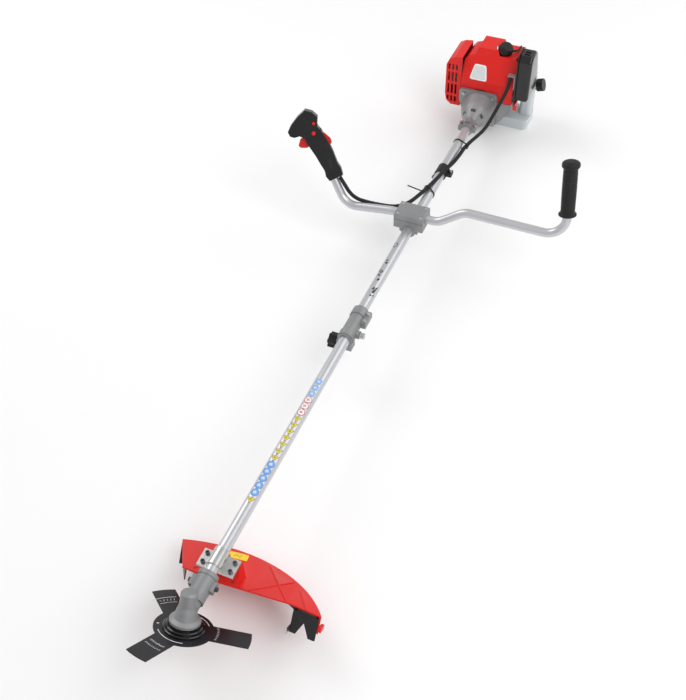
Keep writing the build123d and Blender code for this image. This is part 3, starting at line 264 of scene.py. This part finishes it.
plastics = {
    "red_plastic": {
        "color": (0.74, 0.012, 0.008), "shade": 0.88, "grain": 420.0, "dust": 0.05,
        "dustColor": (0.75, 0.35, 0.3), "wear": 0.25, "worn": (0.78, 0.10, 0.08), "coat": 0.06,
        "rough": 0.38, "roughSwing": 0.08, "bump": 0.06,
    },
    "red_trigger": {
        "color": (0.74, 0.018, 0.012), "shade": 0.85, "grain": 500.0, "dust": 0.05,
        "dustColor": (0.75, 0.4, 0.35), "wear": 0.3, "worn": (0.85, 0.32, 0.28), "coat": 0.15,
        "rough": 0.36, "roughSwing": 0.1, "bump": 0.1,
    },
    "black_plastic": {
        "color": (0.012, 0.0125, 0.014), "shade": 0.7, "grain": 1100.0, "dust": 0.16,
        "dustColor": (0.12, 0.12, 0.12), "wear": 0.3, "worn": (0.13, 0.13, 0.13), "coat": 0.05,
        "rough": 0.42, "roughSwing": 0.16, "bump": 0.3,
    },
    "gloss_black": {
        "color": (0.006, 0.006, 0.007), "shade": 0.7, "grain": 300.0, "dust": 0.08,
        "dustColor": (0.10, 0.10, 0.10), "wear": 0.25, "worn": (0.12, 0.12, 0.12), "coat": 0.5,
        "rough": 0.22, "roughSwing": 0.06, "bump": 0.04,
    },
    "black_rubber": {
        "color": (0.009, 0.009, 0.010), "shade": 0.75, "grain": 850.0, "dust": 0.22,
        "dustColor": (0.11, 0.11, 0.11), "wear": 0.25, "worn": (0.10, 0.10, 0.10), "coat": 0.0,
        "rough": 0.52, "roughSwing": 0.16, "bump": 0.25,
    },
    "loom_black": {
        "color": (0.008, 0.008, 0.009), "shade": 0.8, "grain": 500.0, "dust": 0.15,
        "dustColor": (0.10, 0.10, 0.10), "wear": 0.2, "worn": (0.09, 0.09, 0.09), "coat": 0.0,
        "rough": 0.40, "roughSwing": 0.1, "bump": 0.1,
    },
    "white_ceramic": {
        "color": (0.88, 0.88, 0.86), "shade": 0.96, "grain": 200.0, "dust": 0.1,
        "dustColor": (0.6, 0.58, 0.55), "wear": 0.1, "worn": (0.5, 0.48, 0.45), "coat": 0.6,
        "rough": 0.18, "roughSwing": 0.04, "bump": 0.03,
    },
    "bushing": {
        "color": (0.13, 0.13, 0.14), "shade": 0.8, "grain": 600.0, "dust": 0.1,
        "dustColor": (0.2, 0.2, 0.2), "wear": 0.2, "worn": (0.25, 0.25, 0.25), "coat": 0.0,
        "rough": 0.5, "roughSwing": 0.1, "bump": 0.15,
    },
    "rope": {
        "color": (0.07, 0.07, 0.07), "shade": 0.7, "grain": 1500.0, "dust": 0.2,
        "dustColor": (0.15, 0.14, 0.13), "wear": 0.2, "worn": (0.2, 0.2, 0.2), "coat": 0.0,
        "rough": 0.75, "roughSwing": 0.1, "bump": 0.5,
    },
}
looks = {name: metalLook(name + "Look", s) for name, s in metals.items()}
looks.update({name: plasticLook(name + "Look", s) for name, s in plastics.items()})

bladeSettings = {"color": (0.013, 0.013, 0.016), "scuffed": (0.11, 0.10, 0.10), "rough": 0.34}


def bladeLook(s):  # black enamel: a soft mottle, a few rubbed patches
    mat, tree, bsdf, where = newMaterial("bladeLook")
    cloud = noise(tree, where, 11.0, 4.0).step(0.3, 0.75)
    grain = noise(tree, where, 700.0, 3.0)
    scuff = wornEdges(tree, where, 0.3)
    color = mixColor(tree, cloud, tuple(c * 0.7 for c in s["color"]), s["color"])
    feed(tree, bsdf, Base_Color=mixColor(tree, scuff, color, s["scuffed"]), Metallic=0.0,
         Coat_Weight=0.1, Specular_IOR_Level=0.35,
         Roughness=s["rough"] + cloud * 0.08 + scuff * 0.2, Normal=bump(tree, grain, 0.1, 0.0005))
    return mat


tankSettings = {"color": (0.60, 0.62, 0.64), "fuel": (0.54, 0.56, 0.58)}


def tankLook(s):  # milky polyethylene, a little deeper in tone in random cloudy patches
    mat, tree, bsdf, where = newMaterial("tankLook")
    cloud = noise(tree, where, 7.0, 3.0).step(0.3, 0.7)
    grain = noise(tree, where, 500.0, 2.0)
    feed(tree, bsdf, Base_Color=mixColor(tree, cloud, s["fuel"], s["color"]), Metallic=0.0,
         Subsurface_Weight=0.25, Subsurface_Scale=0.02,
         Roughness=0.34 + (grain - 0.5) * 0.1, Normal=bump(tree, grain, 0.12, 0.0006))
    return mat


looks["blade_steel"] = bladeLook(bladeSettings)
looks["holder_black"] = looks["gloss_black"]
looks["tank_plastic"] = tankLook(tankSettings)
slotOf = {p["node"]: p["material_slot"] for p in record["subparts"]}
bodyOf = {n: b for b, names in record["behaviour"]["bodies"].items() for n in names}
for name, obj in frame["nodes"].items():
    for k in range(len(obj.material_slots)):
        obj.material_slots[k].material = looks[slotOf[name]]
print("materials made:", len(looks))


def addPiece(name, points, faces, uvs, smooth=True):
    mesh = bpy.data.meshes.new(name)
    mesh.from_pydata(points.tolist(), [], faces)
    mesh.uv_layers.new(name="UVMap").data.foreach_set("uv", np.asarray(uvs, np.float32).ravel())
    mesh.polygons.foreach_set("use_smooth", np.full(len(mesh.polygons), smooth))
    mesh.update()
    obj = bpy.data.objects.new(name, mesh)
    bpy.context.collection.objects.link(obj)
    return obj


def gridQuads(m, n, wrap):  # quads of an m x n grid and their uvs; wrap joins the last column to the first
    i, j = np.meshgrid(np.arange(m - 1), np.arange(n if wrap else n - 1), indexing="ij")
    k = (j + 1) % n
    quads = np.stack([i * n + j, i * n + k, (i + 1) * n + k, (i + 1) * n + j], -1).reshape(-1, 4)
    across, along = (n if wrap else n - 1), m - 1
    uvs = np.stack([j / across, i / along, (j + 1) / across, i / along,
                    (j + 1) / across, (i + 1) / along, j / across, (i + 1) / along], -1).reshape(-1, 2)
    return quads, uvs


def loft(name, rows):
    # rows (m, n, 3): m closed rings of n points joined in order; each end is a fan about the ring's mean,
    # and all faces are turned over if the enclosed volume comes out negative
    rows = np.asarray(rows, float)
    m, n = rows.shape[:2]
    quads, uvs = gridQuads(m, n, True)
    points = np.vstack([rows.reshape(-1, 3), rows[0].mean(0), rows[-1].mean(0)])
    a = np.arange(n)
    b = (a + 1) % n
    last = (m - 1) * n
    firstCap = np.stack([b, a, np.full(n, m * n)], -1)
    lastCap = np.stack([last + a, last + b, np.full(n, m * n + 1)], -1)
    caps = np.vstack([firstCap, lastCap])
    tris = np.vstack([quads[:, [0, 1, 2]], quads[:, [0, 2, 3]], caps])
    p = points - points.mean(0)
    volume = np.einsum("ij,ij->i", p[tris[:, 0]], np.cross(p[tris[:, 1]], p[tris[:, 2]])).sum()
    if volume < 0:
        quads, caps = quads[:, ::-1], caps[:, ::-1]
        uvs = uvs.reshape(-1, 4, 2)[:, ::-1].reshape(-1, 2)
    capUv = np.full((6 * n, 2), 0.5)
    return addPiece(name, points, quads.tolist() + caps.tolist(), np.vstack([uvs, capUv]))


def finishPiece(obj, slotName, body, nodes=(), look=None):
    obj.data.materials.clear()
    obj.data.materials.append(look or looks[slotName])
    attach(obj, body)
    if nodes:
        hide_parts(*nodes)
    return obj


print("helpers ready")


softEdges = {  # node: edge width in mm, segments
    "engine_shroud": (7.0, 5), "muffler_guard": (4.0, 3), "guard": (1.2, 2), "guard_skirt": (0.9, 2),
    "filter_cover": (1.5, 2), "handle_clamp_upper": (4.0, 4), "handle_clamp_lower": (3.0, 3),
    "throttle_trigger": (1.6, 3), "trigger_lockout": (1.6, 3), "harness_clamp": (1.2, 2),
    "crankcase": (1.0, 2), "starter_handle": (0.8, 2), "choke_lever": (0.8, 2),
    "throttle_grip_left": (6.0, 5), "throttle_grip_right": (6.0, 5),
}
gripAxis = unit(joints["trigger_squeeze"]["axis"])
gripMiddle = np.array(joints["trigger_squeeze"]["pos_m"])
outerOnly = {"throttle_grip_left": 0.0145, "throttle_grip_right": 0.0145}  # m from the parting plane


def softened(nodeName, width, segments):  # a merged copy of the node, its sharp edges rounded
    source = frame["nodes"][nodeName]
    bm = bmesh.new()
    bm.from_mesh(source.data)
    bmesh.ops.remove_doubles(bm, verts=bm.verts, dist=1e-6)
    bmesh.ops.dissolve_limit(bm, angle_limit=0.02, verts=bm.verts, edges=bm.edges)
    mesh = bpy.data.meshes.new(nodeName + "Soft")
    bm.to_mesh(mesh)
    bm.free()
    mesh.transform(source.matrix_world)
    obj = bpy.data.objects.new(nodeName + "Soft", mesh)
    bpy.context.collection.objects.link(obj)
    edge = obj.modifiers.new("roundedEdges", "BEVEL")
    edge.width, edge.segments = width * 0.001, segments
    edge.limit_method, edge.angle_limit, edge.use_clamp_overlap = "ANGLE", 0.45, True
    if nodeName in outerOnly:  # the parting line stays tight
        co = np.zeros(len(mesh.vertices) * 3)
        mesh.vertices.foreach_get("co", co)
        ends = np.zeros(len(mesh.edges) * 2, int)
        mesh.edges.foreach_get("vertices", ends)
        away = np.abs((co.reshape(-1, 3) - gripMiddle) @ gripAxis) > outerOnly[nodeName]
        chosen = away[ends.reshape(-1, 2)].all(1)
        weights = mesh.attributes.new("bevel_weight_edge", "FLOAT", "EDGE")
        weights.data.foreach_set("value", chosen.astype(np.float32))
        edge.limit_method = "WEIGHT"
    mesh.shade_smooth()
    mesh.set_sharp_from_angle(angle=0.6)
    return finishPiece(obj, slotOf[nodeName], bodyOf[nodeName], [nodeName])


for nodeName, (width, segments) in softEdges.items():
    softened(nodeName, width, segments)
print("edges rounded on", len(softEdges), "pieces")


def roundedPath(corners, share, step):
    # straight runs, each corner rounded by a quadratic curve that starts share of the shorter run before it
    # and ends as far after it, then points spaced evenly by step
    c = np.asarray(corners, float)
    runs = np.linalg.norm(np.diff(c, axis=0), axis=1)
    cut = share * np.minimum(runs[:-1], runs[1:])[:, None]
    into = c[1:-1] - (c[1:-1] - c[:-2]) / runs[:-1, None] * cut
    away = c[1:-1] + (c[2:] - c[1:-1]) / runs[1:, None] * cut
    t = np.linspace(0, 1, 24)[None, :, None]
    bends = (1 - t) ** 2 * into[:, None] + 2 * t * (1 - t) * c[1:-1, None] + t ** 2 * away[:, None]
    line = np.vstack([c[:1], bends.reshape(-1, 3), c[-1:]])
    gone = np.concatenate([[0], np.cumsum(np.linalg.norm(np.diff(line, axis=0), axis=1))])
    keep = np.concatenate([[True], np.diff(gone) > 1e-6])
    at = np.arange(0, gone[-1], step)
    return np.stack([np.interp(at, gone[keep], line[keep][:, k]) for k in range(3)], -1), at


def tubeRings(line, radii, side, count):
    # circle of count points about each point of the line, in the plane across its direction;
    # side is a direction never along it
    along = np.gradient(line, axis=0)
    along /= np.linalg.norm(along, axis=1)[:, None]
    one = np.cross(along, side)
    one /= np.linalg.norm(one, axis=1)[:, None]
    two = np.cross(along, one)
    a = np.linspace(0, 2 * np.pi, count, endpoint=False)[None, :, None]
    return line[:, None] + radii[:, None, None] * (np.cos(a) * one[:, None] + np.sin(a) * two[:, None])


lean = np.radians(15)    # the handlebar's plane leans back
barFoot = (1085, 29)     # mm along the shaft and above its axis


def barPoint(across, up, behind=0.0):
    x = barFoot[0] + up * np.sin(lean) + behind * np.cos(lean)
    z = barFoot[1] + up * np.cos(lean) - behind * np.sin(lean)
    return np.array([x, across, z])


loom = {
    "radius": 5.0, "ridge": 0.45, "pitch": 3.4, "step": 0.85, "share": 0.45,
    "corners": [barPoint(166, 2, 9), barPoint(104, -3, 18), barPoint(52, 2, 20), (1148, 32, 11),
                (1202, 10, 17.5), (1262, -6, 20.5), (1300, -12, 21), (1346, -20, 13.5), (1400, -21, 3),
                (1445, -20.5, -4), (1476, -27, -4), (1522, -54, 15), (1594, -68, 50), (1630, -79, 84),
                (1643, -82, 117)],
}


def legSide(dist, off):  # beside the throttle leg, dist mm down from its top corner
    top, foot = np.array([279.0, 146.0]), np.array([180.0, -17.0])
    u = (foot - top) / np.linalg.norm(foot - top)
    across, up = top + u * dist + np.array([u[1], -u[0]]) * off
    return barPoint(across, up)


def makeLoom(s):
    # radius = mean + ridge times the sine of length over pitch, squared off a little as split conduit is
    line, at = roundedPath([legSide(117.0, 17.3)] + list(s["corners"]), s["share"], s["step"])
    wave = np.tanh(2.2 * np.sin(2 * np.pi * at / s["pitch"])) / np.tanh(2.2)
    rings = tubeRings(line, s["radius"] + s["ridge"] * wave, np.array([0.45, 0.25, -0.86]), 16)
    obj = loft("controlLoomSleeve", place(rings))
    finishPiece(obj, "loom_black", "machine", ["control_loom"])
    print("loom length mm", round(float(at[-1])))


makeLoom(loom)


rubberGrip = {"length": 136.0, "half": (18.0, 17.0), "ribs": 22, "ribHeight": 0.55, "collar": 4.5, "cap": 4.4,
              "dome": 8.0, "waist": -0.6, "belly": 0.8}


def smoothStep(x, low, high):
    t = np.clip((x - low) / (high - low), 0, 1)
    return t * t * (3 - 2 * t)


def makeRubberGrip(s):
    # half-widths against height: a collar at the foot, a ribbed waist, a wider rounded cap, closed at the top
    top, foot = barPoint(-364, 228), barPoint(-389, 44)
    up = unit(top - foot)
    side = unit(np.cross(up, (1.0, 0.0, 0.0)))
    front = np.cross(side, up)
    length, dome = s["length"], s["dome"]
    domeHeights = length - dome + dome * np.sin(np.linspace(0, np.pi / 2, 14))[1:]
    h = np.concatenate([np.linspace(0, length - dome, 260), domeHeights])
    extra = s["collar"] * (1 - smoothStep(h, 4.5, 8.5)) * smoothStep(h, -0.5, 1.5)
    extra += s["cap"] * smoothStep(h, length - 19, length - 13)
    waist = smoothStep(h, 12, 20) * (1 - smoothStep(h, length - 30, length - 22))
    ribs = s["ribHeight"] * np.sin(2 * np.pi * h / (length / s["ribs"]))
    extra += waist * (ribs + s["waist"] + s["belly"] * np.sin(np.pi * h / length))
    close = np.sqrt(np.clip(1 - ((h - (length - dome)) / dome).clip(0, 1) ** 2, 0, 1)) * 0.55 + 0.45
    a = np.linspace(0, 2 * np.pi, 72, endpoint=False)
    x = ((s["half"][0] + extra) * close)[:, None] * np.cos(a)
    y = ((s["half"][1] + extra) * close)[:, None] * np.sin(a)
    start = top - up * (length - 9)
    rings = start + h[:, None, None] * up + x[..., None] * front + y[..., None] * side
    finishPiece(loft("rubberGripBody", place(rings)), "black_rubber", "machine", ["rubber_grip"])


makeRubberGrip(rubberGrip)
print("loom and rubber grip made")


stickers = {
    "tubeRadius": 13.14,
    "start": 174.0, "pitch": 18.37,   # first middle and spacing, mm
    "angle": 5.5,                     # degrees round from the top
    "row": "tdddddTTTTTTTooobbb",
    # kind: sides, turn, radius in mm, edge colour, fill, mark
    "kinds": {
        "t": ("plateLow", 3, np.pi, 9.8, (0.03, 0.03, 0.03), (0.80, 0.68, 0.03), (0.03, 0.03, 0.03)),
        "d": ("blueDiscs", 0, 0.0, 8.9, (0.10, 0.28, 0.66), (0.16, 0.36, 0.74), (0.85, 0.88, 0.92)),
        "T": ("yellowTriangles", 3, np.pi, 9.8, (0.03, 0.03, 0.03), (0.80, 0.68, 0.03), (0.03, 0.03, 0.03)),
        "o": ("redRings", 0, 0.0, 8.9, (0.62, 0.02, 0.02), (0.86, 0.84, 0.84), (0.45, 0.03, 0.03)),
        "b": ("bluePanels", 4, np.pi / 4, 9.8, (0.22, 0.44, 0.80), (0.22, 0.44, 0.80), (0.80, 0.85, 0.92)),
    },
}


def stickerLook(name, edgeColor, fillColor, glyph):  # v runs from the middle to the edge, u round it
    mat, tree, bsdf, where = newMaterial(name)
    uv = node(tree, "ShaderNodeUVMap", {"uv_map": "UVMap"})
    parts = node(tree, "ShaderNodeSeparateXYZ", {}, {0: uv})
    u, v = parts, Sock(tree, parts.out.node.outputs[1])
    rim = v.over(0.84)
    mark = v.under(0.42) * ((u * 25.13).sine().over(-0.2))
    color = mixColor(tree, mark, fillColor, glyph)
    color = mixColor(tree, rim, color, edgeColor)
    scuff = wornEdges(tree, where, 0.5)
    feed(tree, bsdf, Base_Color=mixColor(tree, scuff, color, (0.7, 0.7, 0.7)), Coat_Weight=0.0,
         Roughness=0.55 + scuff * 0.2, Normal=bump(tree, noise(tree, where, 300.0), 0.05, 0.0004))
    return mat


def edgeRadius(sides, a, turn):  # distance to the edge of a regular polygon at angle a; no sides is a circle
    if not sides:
        return np.ones_like(a)
    w = 2 * np.pi / sides
    return np.cos(w / 2) / np.cos((a + turn) % w - w / 2)


def wrapped(name, centres, radius, sides, turn, material):
    # polar grid: out to the polygon's edge, laid round the tube by dividing arc by radius, then thickened
    rings, count = 6, 36
    a = np.linspace(0, 2 * np.pi, count, endpoint=False)
    r = np.linspace(0.001, 1, rings)[:, None]
    flat = radius * edgeRadius(sides, a, turn) * r
    x, arc = flat * np.cos(a), flat * np.sin(a)
    quads, uvs = gridQuads(rings, count, True)
    around = stickers["tubeRadius"]
    points, faces, allUv = [], [], []
    for k, (cx, degreesRound) in enumerate(centres):
        turnAngle = np.radians(degreesRound) + arc / around
        shell = np.stack([cx + x, -np.sin(turnAngle) * around, np.cos(turnAngle) * around], -1)
        points.append(shell.reshape(-1, 3))
        faces.append(quads + k * rings * count)
        allUv.append(uvs)
    obj = addPiece(name, place(np.vstack(points)), np.vstack(faces).tolist(), np.vstack(allUv))
    thick = obj.modifiers.new("thickness", "SOLIDIFY")
    thick.thickness, thick.offset = 0.00012, 1.0
    return finishPiece(obj, "tube_aluminium", "machine", look=material)


def makeStickers(s):
    for kind, (name, sides, turn, radius, edge, fill, glyph) in s["kinds"].items():
        at = [(s["start"] + k * s["pitch"], s["angle"]) for k, c in enumerate(s["row"]) if c == kind]
        wrapped(name, at, radius, sides, turn, stickerLook(name + "Look", edge, fill, glyph))


makeStickers(stickers)


bladeMarks = {
    "lift": 0.25,   # mm above the enamel
    # radius, from and to in degrees, width
    "arcs": [(48.8, 132, 207, 1.5), (48.8, -48, -10, 1.2), (101.0, 38, 66, 1.3), (84.0, 38, 62, 1.1)],
    # radius, from and to in degrees, height, number of strokes
    "words": [(64.6, -88, -54, 5.0, 9), (73.2, 156, 180, 4.2, 11), (85.6, 157, 179, 4.2, 9),
              (92.5, 41, 58, 6.5, 5)],
}
tubeMarks = {
    "lift": 0.25,
    # x along the shaft, degrees round from the top, half-length, half-width, both mm
    "spots": [(796, 20, 2.2, 2.0), (800, 48, 1.6, 1.4), (812, 30, 6.5, 2.6), (820, 12, 4.5, 2.0),
              (824, 40, 4.2, 1.8), (852, 8, 3.4, 2.4), (868, -12, 1.6, 3.4), (880, -2, 5.4, 1.5),
              (884, -26, 5.0, 1.3), (914, -6, 2.6, 2.6), (924, -14, 2.0, 2.0)],
    "ring": (984.0, -24, 8.0, 5.5, 1.6),   # middle, degrees, half-length, half-width, stroke
}


def strip(line, out, width):  # a stroke's points (n, 3) and unit normals: two rows half a width either side
    line, out = np.asarray(line, float), np.asarray(out, float)
    along = np.gradient(line, axis=0)
    across = np.cross(out, along)
    across /= np.linalg.norm(across, axis=1)[:, None]
    return np.stack([line + across * width / 2, line - across * width / 2], 1)


def strokes(name, strips, body, material):
    points, faces, allUv, base = [], [], [], 0
    for rows in strips:
        quads, uvs = gridQuads(len(rows), 2, False)
        points.append(rows.reshape(-1, 3))
        faces.append(quads + base)
        allUv.append(uvs)
        base += len(rows) * 2
    obj = addPiece(name, place(np.vstack(points)), np.vstack(faces).tolist(), np.vstack(allUv), False)
    thick = obj.modifiers.new("thickness", "SOLIDIFY")
    thick.thickness, thick.offset = 0.0001, 0.0
    return finishPiece(obj, "tube_aluminium", body, look=material)


def paintLook(name, color, other):
    mat, tree, bsdf, where = newMaterial(name)
    patch = noise(tree, where, 120.0, 3.0).step(0.45, 0.7)
    feed(tree, bsdf, Base_Color=mixColor(tree, patch * 0.6, color, other), Roughness=0.45 + patch * 0.15)
    return mat


headTilt = np.radians(57)   # the blade's axis against the shaft's
headUp = np.array([np.cos(headTilt), 0, np.sin(headTilt)])
headFront = np.array([np.sin(headTilt), 0, -np.cos(headTilt)])
headSide = np.array([0, 1.0, 0])
bladeDrop = 30.0            # mm from where the gears' axes cross to the blade's top face
headMiddle = np.array([-1000 * gearApex, 0, 0]) - bladeDrop * headUp


def headPoint(x, y, h):  # on the plane square to the blade's axis, h mm above the blade
    x, y, h = (np.asarray(v, float)[..., None] for v in (x, y, h))
    return headMiddle + x * headFront + y * headSide + h * headUp


def makeBladeMarks(s):
    strips = []
    for radius, start, stop, width in s["arcs"]:
        a = np.radians(np.linspace(start, stop, 40))
        line = headPoint(radius * np.cos(a), radius * np.sin(a), np.full(40, s["lift"]))
        strips.append(strip(line, np.tile(headUp, (40, 1)), width))
    for radius, start, stop, height, count in s["words"]:
        rng = np.random.default_rng(int(radius * 10))
        for a in np.radians(np.linspace(start, stop, count)):
            tall = height * rng.uniform(0.6, 1.0)
            r = np.linspace(radius - tall / 2, radius + tall / 2, 5)
            slant = a + rng.uniform(-0.02, 0.02) * np.linspace(-1, 1, 5)
            line = headPoint(r * np.cos(slant), r * np.sin(slant), np.full(5, s["lift"]))
            strips.append(strip(line, np.tile(headUp, (5, 1)), 0.9))
    look = paintLook("bladePrintLook", (0.78, 0.78, 0.78), (0.45, 0.45, 0.45))
    strokes("bladePrint", strips, "blade_spindle", look)


tubeRadius = 13.0


def aroundTube(x, degreesRound, lift):  # where a point lies on the tube, and its normal
    a = np.radians(degreesRound)
    out = np.stack([np.zeros_like(a), -np.sin(a), np.cos(a)], -1)
    return np.stack([x, 0 * x, 0 * x], -1) + out * (tubeRadius + lift), out


def makeTubeMarks(s):
    strips = []
    for x, degreesRound, halfLength, halfWidth in s["spots"]:
        t = np.linspace(-1, 1, 7)
        line, out = aroundTube(x + t * halfLength, degreesRound + 6 * t, s["lift"])
        strips.append(strip(line, out, 2 * halfWidth))
    x, middle, halfLength, halfWidth, stroke = s["ring"]
    a = np.linspace(0, 2 * np.pi, 33)
    degreesRound = middle + np.degrees(halfWidth * np.sin(a) / tubeRadius)
    line, out = aroundTube(x + halfLength * np.cos(a), degreesRound, s["lift"])
    strips.append(strip(line, out, stroke))
    look = paintLook("tubePrintLook", (0.015, 0.015, 0.017), (0.06, 0.06, 0.06))
    strokes("tubePrint", strips, "machine", look)


makeBladeMarks(bladeMarks)
makeTubeMarks(tubeMarks)

guardLabel = {"middle": (231.5, 10.0), "along": 21.5, "across": 12.5, "turn": -77.0, "height": 40.8}


def makeGuardLabel(s):  # a rectangle whose corners are rounded by a superellipse of power 10
    a = np.linspace(0, 2 * np.pi, 96, endpoint=False)
    rim = (np.abs(np.cos(a)) ** 10 + np.abs(np.sin(a)) ** 10) ** -0.1
    r = np.linspace(0.001, 1, 5)[:, None]
    p, q = s["along"] * r * rim * np.cos(a), s["across"] * r * rim * np.sin(a)
    t = np.radians(s["turn"])
    x = s["middle"][0] + p * np.cos(t) - q * np.sin(t)
    y = s["middle"][1] + p * np.sin(t) + q * np.cos(t)
    quads, uvs = gridQuads(5, 96, True)
    points = place(headPoint(x, y, np.full_like(x, s["height"]))).reshape(-1, 3)
    obj = addPiece("guardLabelPlate", points, quads.tolist(), uvs)
    thick = obj.modifiers.new("thickness", "SOLIDIFY")
    thick.thickness, thick.offset = 0.0013, 0.0
    look = stickerLook("guardLabelLook", (0.93, 0.62, 0.02), (0.93, 0.62, 0.02), (0.62, 0.38, 0.02))
    finishPiece(obj, "red_plastic", "machine", look=look)


makeGuardLabel(guardLabel)

frontLabel = {"z": (86.0, 126.0), "y": (-14.0, 38.0), "narrow": 9.0, "lift": 0.35,
              "slope": 0.44, "foot": 1641.0, "bend": 84.0}   # the cover leans back above the bend


def makeFrontLabel(s):
    # trapezium on the sloping face: half-width shrinks with height, corners rounded by a superellipse
    # of power 8
    n, m = 96, 8
    a = np.linspace(0, 2 * np.pi, n, endpoint=False)
    rim = (np.abs(np.cos(a)) ** 8 + np.abs(np.sin(a)) ** 8) ** (-1 / 8)
    r = np.linspace(0.001, 1, m)[:, None]
    v = r * rim * np.sin(a)
    half = (s["y"][1] - s["y"][0]) / 2 - s["narrow"] * (v + 1) / 2
    y = sum(s["y"]) / 2 + r * rim * np.cos(a) * half
    z = sum(s["z"]) / 2 + v * (s["z"][1] - s["z"][0]) / 2
    x = s["foot"] + (z - s["bend"]).clip(0) * s["slope"] - s["lift"]
    quads, uvs = gridQuads(m, n, True)
    obj = addPiece("frontLabelPlate", place(np.stack([x, y, z], -1)).reshape(-1, 3), quads.tolist(), uvs)
    thick = obj.modifiers.new("thickness", "SOLIDIFY")
    thick.thickness, thick.offset = 0.0004, 0.0
    look = stickerLook("frontLabelLook", (0.90, 0.90, 0.90), (0.66, 0.70, 0.70), (0.66, 0.70, 0.70))
    finishPiece(obj, "white_ceramic", "machine", look=look)


makeFrontLabel(frontLabel)
print("stickers made")


def makeStage(s):
    mat, tree, bsdf, where = newMaterial("floorLook")
    darker = tuple(c * 0.985 for c in s["floorColor"])
    color = mixColor(tree, noise(tree, where, 3.0), darker, s["floorColor"])
    feed(tree, bsdf, Base_Color=color, Roughness=0.85)
    h = s["floorSize"] / 2
    corners = np.array([(-h, -h, 0), (h, -h, 0), (h, h, 0), (-h, h, 0)], float)
    floor = addPiece("floor", corners, [[0, 1, 2, 3]], [(0, 0), (1, 0), (1, 1), (0, 1)], False)
    floor.data.materials.append(mat)
    floor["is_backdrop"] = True
    world = bpy.data.worlds.new("studio")
    bpy.context.scene.world = world
    world.use_nodes = True
    world.node_tree.nodes["Background"].inputs[0].default_value = (1, 1, 1, 1)
    world.node_tree.nodes["Background"].inputs[1].default_value = s["skyStrength"]
    areaLight("key", (-1.2, -2.4, 3.2), s["keyPower"], 2.4)
    areaLight("fill", (2.2, -2.0, 2.4), s["fillPower"], 2.6)
    areaLight("rim", (0.8, 2.6, 2.6), s["rimPower"], 2.0)


makeStage(stageSettings)
newLow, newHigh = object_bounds()
sizes = {"before": [list(cadLow), list(cadHigh)], "after": [list(newLow), list(newHigh)]}
for when, (low, high) in sizes.items():
    print("size", when, [round(b - a, 3) for a, b in zip(low, high)])
